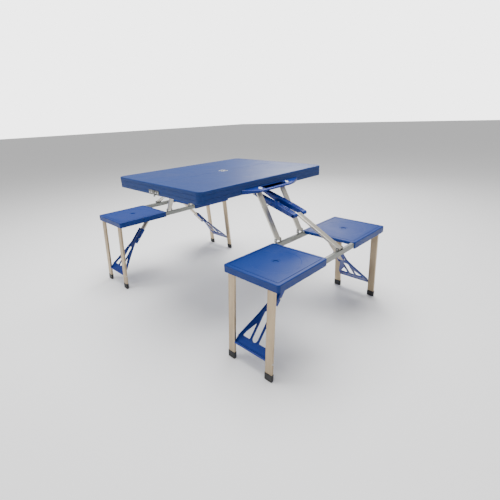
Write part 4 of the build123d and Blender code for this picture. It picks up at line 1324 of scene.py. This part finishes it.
@dataclass
class Linkage:
    """The struts, cradles and arms that carry each bench from the top."""

    tubes: TubeMaker
    strut_y: float = 85 * MM
    strut_width: float = 30 * MM
    strut_thickness: float = 11 * MM
    strut_end: float = 4.5 * MM
    arm_width: float = 30 * MM
    arm_thickness: float = 11 * MM
    arm_end: float = 5 * MM
    slope: float = math.radians(-19.2)
    prong: tuple[float, float, float] = (-106 * MM, 6 * MM, 6 * MM)
    knee: tuple[float, float, float] = (138 * MM, 13 * MM, 9 * MM)
    sole: float = -5 * MM
    half_width: float = 48 * MM
    half_gap: float = 20.5 * MM
    web: tuple[float, float, float] = (-25 * MM, 70 * MM, 4.5 * MM)
    wall: float = 4.5 * MM
    channel: float = 5.5 * MM

    def build(self, finishes: Finishes) -> None:
        """Makes one side's pieces and mirrors them."""
        self.find_places()
        for stem, sign in (("back", 1), ("front", -1)):
            fit_out_pair(self.strut(sign), f"strut_{stem}", f"strut_{{side}}_{stem}", "struts_{side}",
                         finishes.strut)
        fit_out(self.arm(), "arm_tube", "arm", "arm_{side}", finishes.arm, ends=False)
        fit_out(self.cradle(), "cradle_body", "cradle", "cradle_{side}", finishes.moulding,
                ends=False)

    def find_places(self) -> None:
        """Takes pin places and directions from the frame."""
        self.top, self.foot = joint_place("bench_fold_right"), joint_place("bench_level_right")
        self.pin, self.arm_foot = joint_place("cradle_turn_right"), joint_place("arm_swing_right")
        along = Vector((math.cos(self.slope), 0, math.sin(self.slope)))
        self.cradle_frame = plane_matrix(self.pin, along, Vector((0, -1, 0)))
        self.knee_place = self.cradle_frame @ Vector((self.knee[0], self.knee[1], 0))

    def bar(self, start: Vector, stop: Vector, size: Point, end: float) -> bpy.types.Object:
        """Makes a tube between two pins in one XZ plane.

        Args:
            start: The first pin.
            stop: The second pin.
            size: The tube's width and thickness.
            end: How far it runs past each pin.

        Returns:
            The tube.
        """
        along = (stop - start).normalized()
        place = plane_matrix(start, along, Vector((-along.z, 0, along.x)))
        return self.tubes.make("bar_master", place, size[0], size[1], (-end, (stop - start).length + end))

    def strut(self, sign: int) -> bpy.types.Object:
        """Makes one strut."""
        shift = Vector((0, sign * self.strut_y, 0))
        return self.bar(self.top + shift, self.foot + shift, (self.strut_width, self.strut_thickness), self.strut_end)

    def arm(self) -> bpy.types.Object:
        """Makes the arm that folds over the cradle."""
        return self.bar(self.knee_place, self.arm_foot, (self.arm_width, self.arm_thickness), self.arm_end)

    def side_outline(self, drop: float, lift: float) -> list[Point]:
        """Gives a cradle arm's side view, with its top edge lowered and its lower edge raised between the ends."""
        reach, level, tip = self.prong
        far, high, end = self.knee
        corners = [(reach - tip, level - tip), (reach / 2, self.sole + lift), (0, self.sole + lift),
                   (far + end, high - end), (far + end, high + end), (far * 0.55, high + end - drop),
                   (8 * MM, level + tip + 7 * MM - drop), (reach - tip, level + tip)]
        radii = [tip * 0.95, 12 * MM, 12 * MM, end * 0.95, end * 0.95, 30 * MM, 30 * MM, tip * 0.95]
        return rounded_outline(corners, radii, ARC_STEPS)

    def layer(self, name: str, centre: float, thickness: float, drop: float, lift: float) -> bpy.types.Object:
        """Makes one upright layer of a cradle arm."""
        place = self.cradle_frame @ Matrix.Translation((0, 0, centre))
        return plate(name, [self.side_outline(drop, lift)], thickness, 0.8 * MM, place)

    def cradle(self) -> bpy.types.Object:
        """Makes the moulded cradle: two channelled arms, their knuckles and the web between them."""
        width = self.half_width - self.half_gap
        parts = []
        for sign in (-1, 1):
            middle = sign * (self.half_gap + self.half_width) / 2
            for index, offset in enumerate((-(width - self.wall) / 2, 0.0, (width - self.wall) / 2)):
                parts.append(self.layer(f"wall_{sign}_{index}", middle + offset, self.wall, 0, 0))
            parts.append(self.layer(f"floor_{sign}", middle, width - self.wall, self.channel, 1.5 * MM))
        start, stop, sheet = self.web
        bm = bmesh.new()
        add_box(bm, Vector((start, self.sole, -self.half_gap - MM)),
                Vector((stop, self.sole + sheet, self.half_gap + MM)))
        for at in (start + 2 * MM, (start + stop) / 2, stop - 2 * MM):
            add_box(bm, Vector((at - 1.5 * MM, self.sole, -self.half_gap - MM)),
                    Vector((at + 1.5 * MM, self.sole + sheet + MM, self.half_gap + MM)))
        for (x, y, radius) in (self.prong, self.knee):
            for sign in (-1, 1):
                add_drum(bm, radius * 0.62, (Vector((x, y, sign * (self.half_gap + MM))),
                                             Vector((x, y, sign * self.half_width))), PIN_STEPS)
        bmesh.ops.transform(bm, matrix=self.cradle_frame, verts=bm.verts[:])
        parts.append(make_object("web", bm))
        piece = joined("cradle_master", parts)
        soften(piece, 0)
        return piece


def fit_out_pair(master: bpy.types.Object, stem: str, node: str, body: str,
                 material: bpy.types.Material) -> None:
    """Places a master piece on both sides, where its construction node is named in full.

    Args:
        master: The piece on the right side, which is removed.
        stem: The stem of the copies' names.
        node: The construction node's name, with {side} in it.
        body: The body's name, with {side} in it.
        material: The finish.
    """
    before = set(bpy.data.objects)
    fit_out(master, stem, "", body, material, ends=False)
    for piece in set(bpy.data.objects) - before:
        side = piece.name.rsplit("_", 1)[1]
        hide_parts(node.format(side=side))


# --- Studio ------------------------------------------------------------------------------------


@dataclass(frozen=True)
class AreaLight:
    """A soft rectangular light that points at the table."""

    name: str
    place: tuple[float, float, float]
    size: float
    power: float
    target: tuple[float, float, float] = (0.0, 0.0, 0.5)

    def build(self) -> None:
        """Adds the light."""
        data = bpy.data.lights.new(self.name, "AREA")
        data.shape = "DISK"
        data.size = self.size
        data.energy = self.power
        lamp = bpy.data.objects.new(self.name, data)
        lamp.location = self.place
        lamp.rotation_euler = (Vector(self.target) - Vector(self.place)).to_track_quat("-Z", "Y").to_euler()
        bpy.context.scene.collection.objects.link(lamp)


@dataclass(frozen=True)
class StudioCamera:
    """The camera, by its place, its direction, its roll and its lens."""

    place: tuple[float, float, float] = (1.37326, -1.20324, 0.96957)
    azimuth: float = math.radians(44.804)
    elevation: float = math.radians(21.993)
    roll: float = math.radians(-2.268)
    lens: float = 24.0
    sensor: float = 36.0

    def build(self) -> None:
        """Adds the camera and makes it the scene's."""
        across, up = math.cos(self.elevation), math.sin(self.elevation)
        back = Vector((math.sin(self.azimuth) * across, -math.cos(self.azimuth) * across, up))
        right = (-back).cross(Vector((0, 0, 1))).normalized()
        upward = right.cross(-back)
        cosine, sine = math.cos(self.roll), math.sin(self.roll)
        axes = Matrix((right * cosine + upward * sine, upward * cosine - right * sine, back)).transposed()
        data = bpy.data.cameras.new("camera")
        data.lens = self.lens
        data.sensor_width = self.sensor
        camera = bpy.data.objects.new("camera", data)
        camera.matrix_world = Matrix.Translation(self.place) @ axes.to_4x4()
        bpy.context.scene.collection.objects.link(camera)
        bpy.context.scene.camera = camera


class Studio:
    """The floor, the room's light and the camera."""

    lights = (AreaLight("top_light", (-0.2, 0.2, 3.4), 3.0, 190.0),
              AreaLight("key_light", (-1.6, -2.2, 3.0), 1.2, 25.0),
              AreaLight("back_light", (-1.4, 2.6, 2.2), 1.6, 40.0))
    floor_half = 30
    room_color = (1.0, 1.0, 1.0, 1.0)
    room_strength = 0.6
    backdrop_strength = 4.0

    def build(self) -> None:
        """Builds the studio."""
        bm = bmesh.new()
        bmesh.ops.create_grid(bm, x_segments=1, y_segments=1, size=self.floor_half)
        floor = make_object("floor", bm)
        floor.data.materials.append(PaintedFloor().material())
        world = bpy.data.worlds.new("room")
        world.use_nodes = True
        nodes, links = world.node_tree.nodes, world.node_tree.links
        background = nodes["Background"]
        background.inputs["Color"].default_value = self.room_color
        rays = nodes.new("ShaderNodeLightPath")
        seen = nodes.new("ShaderNodeMapRange")
        seen.inputs["To Min"].default_value = self.room_strength
        seen.inputs["To Max"].default_value = self.backdrop_strength
        links.new(rays.outputs["Is Camera Ray"], seen.inputs["Value"])
        links.new(seen.outputs["Result"], background.inputs["Strength"])
        bpy.context.scene.world = world
        for light in self.lights:
            light.build()
        StudioCamera().build()


# --- Table -------------------------------------------------------------------------------------


class PicnicTable:
    """The whole table: replaced pieces, and the small steel parts that stay as constructed."""

    steel_stems = ("hinge_leaves", "hinge_screws", "strut_mounts", "bail_clips", "strut_pins", "bail", "seat_rods",
                   "strut_shoes", "arm_clevis", "bench_pins")
    corner_steel_stems = ("knee_pin",)
    dull_stems = ("hinge_leaves", "seat_rods", "strut_shoes", "arm_clevis")
    bright_stems = ("hinge_screws", "hinge_rivets")

    def __init__(self) -> None:
        """Builds the finishes."""
        self.finishes = Finishes()
        self.tubes = TubeMaker()

    def build(self) -> None:
        """Builds every sub-assembly."""
        TableTop().build(self.finishes)
        Seats().build(self.finishes)
        Benches(self.tubes).build(self.finishes)
        Linkage(self.tubes).build(self.finishes)
        self.finish_steel()

    def finish_steel(self) -> None:
        """Gives the small steel parts their finish."""
        names = ["hinge_rivets"]
        for side in Side:
            names += [f"{stem}_{side.name.lower()}" for stem in self.steel_stems]
            for end in End:
                names += [f"{stem}_{side.name.lower()}_{end.name.lower()}" for stem in self.corner_steel_stems]
        for name in names:
            node = frame["nodes"][name]
            finish = self.finishes.dull if name.startswith(self.dull_stems) else self.finishes.steel
            finish = self.finishes.bright if name.startswith(self.bright_stems) else finish
            if not node.material_slots:
                node.data.materials.append(finish)
            for holder in node.material_slots:
                holder.link = "OBJECT"
                holder.material = finish


def main() -> None:
    """Builds the table and the studio."""
    logging.basicConfig(level=logging.INFO, format="%(asctime)s %(message)s")
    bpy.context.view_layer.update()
    PicnicTable().build()
    Studio().build()


if __name__ == "__main__":
    main()
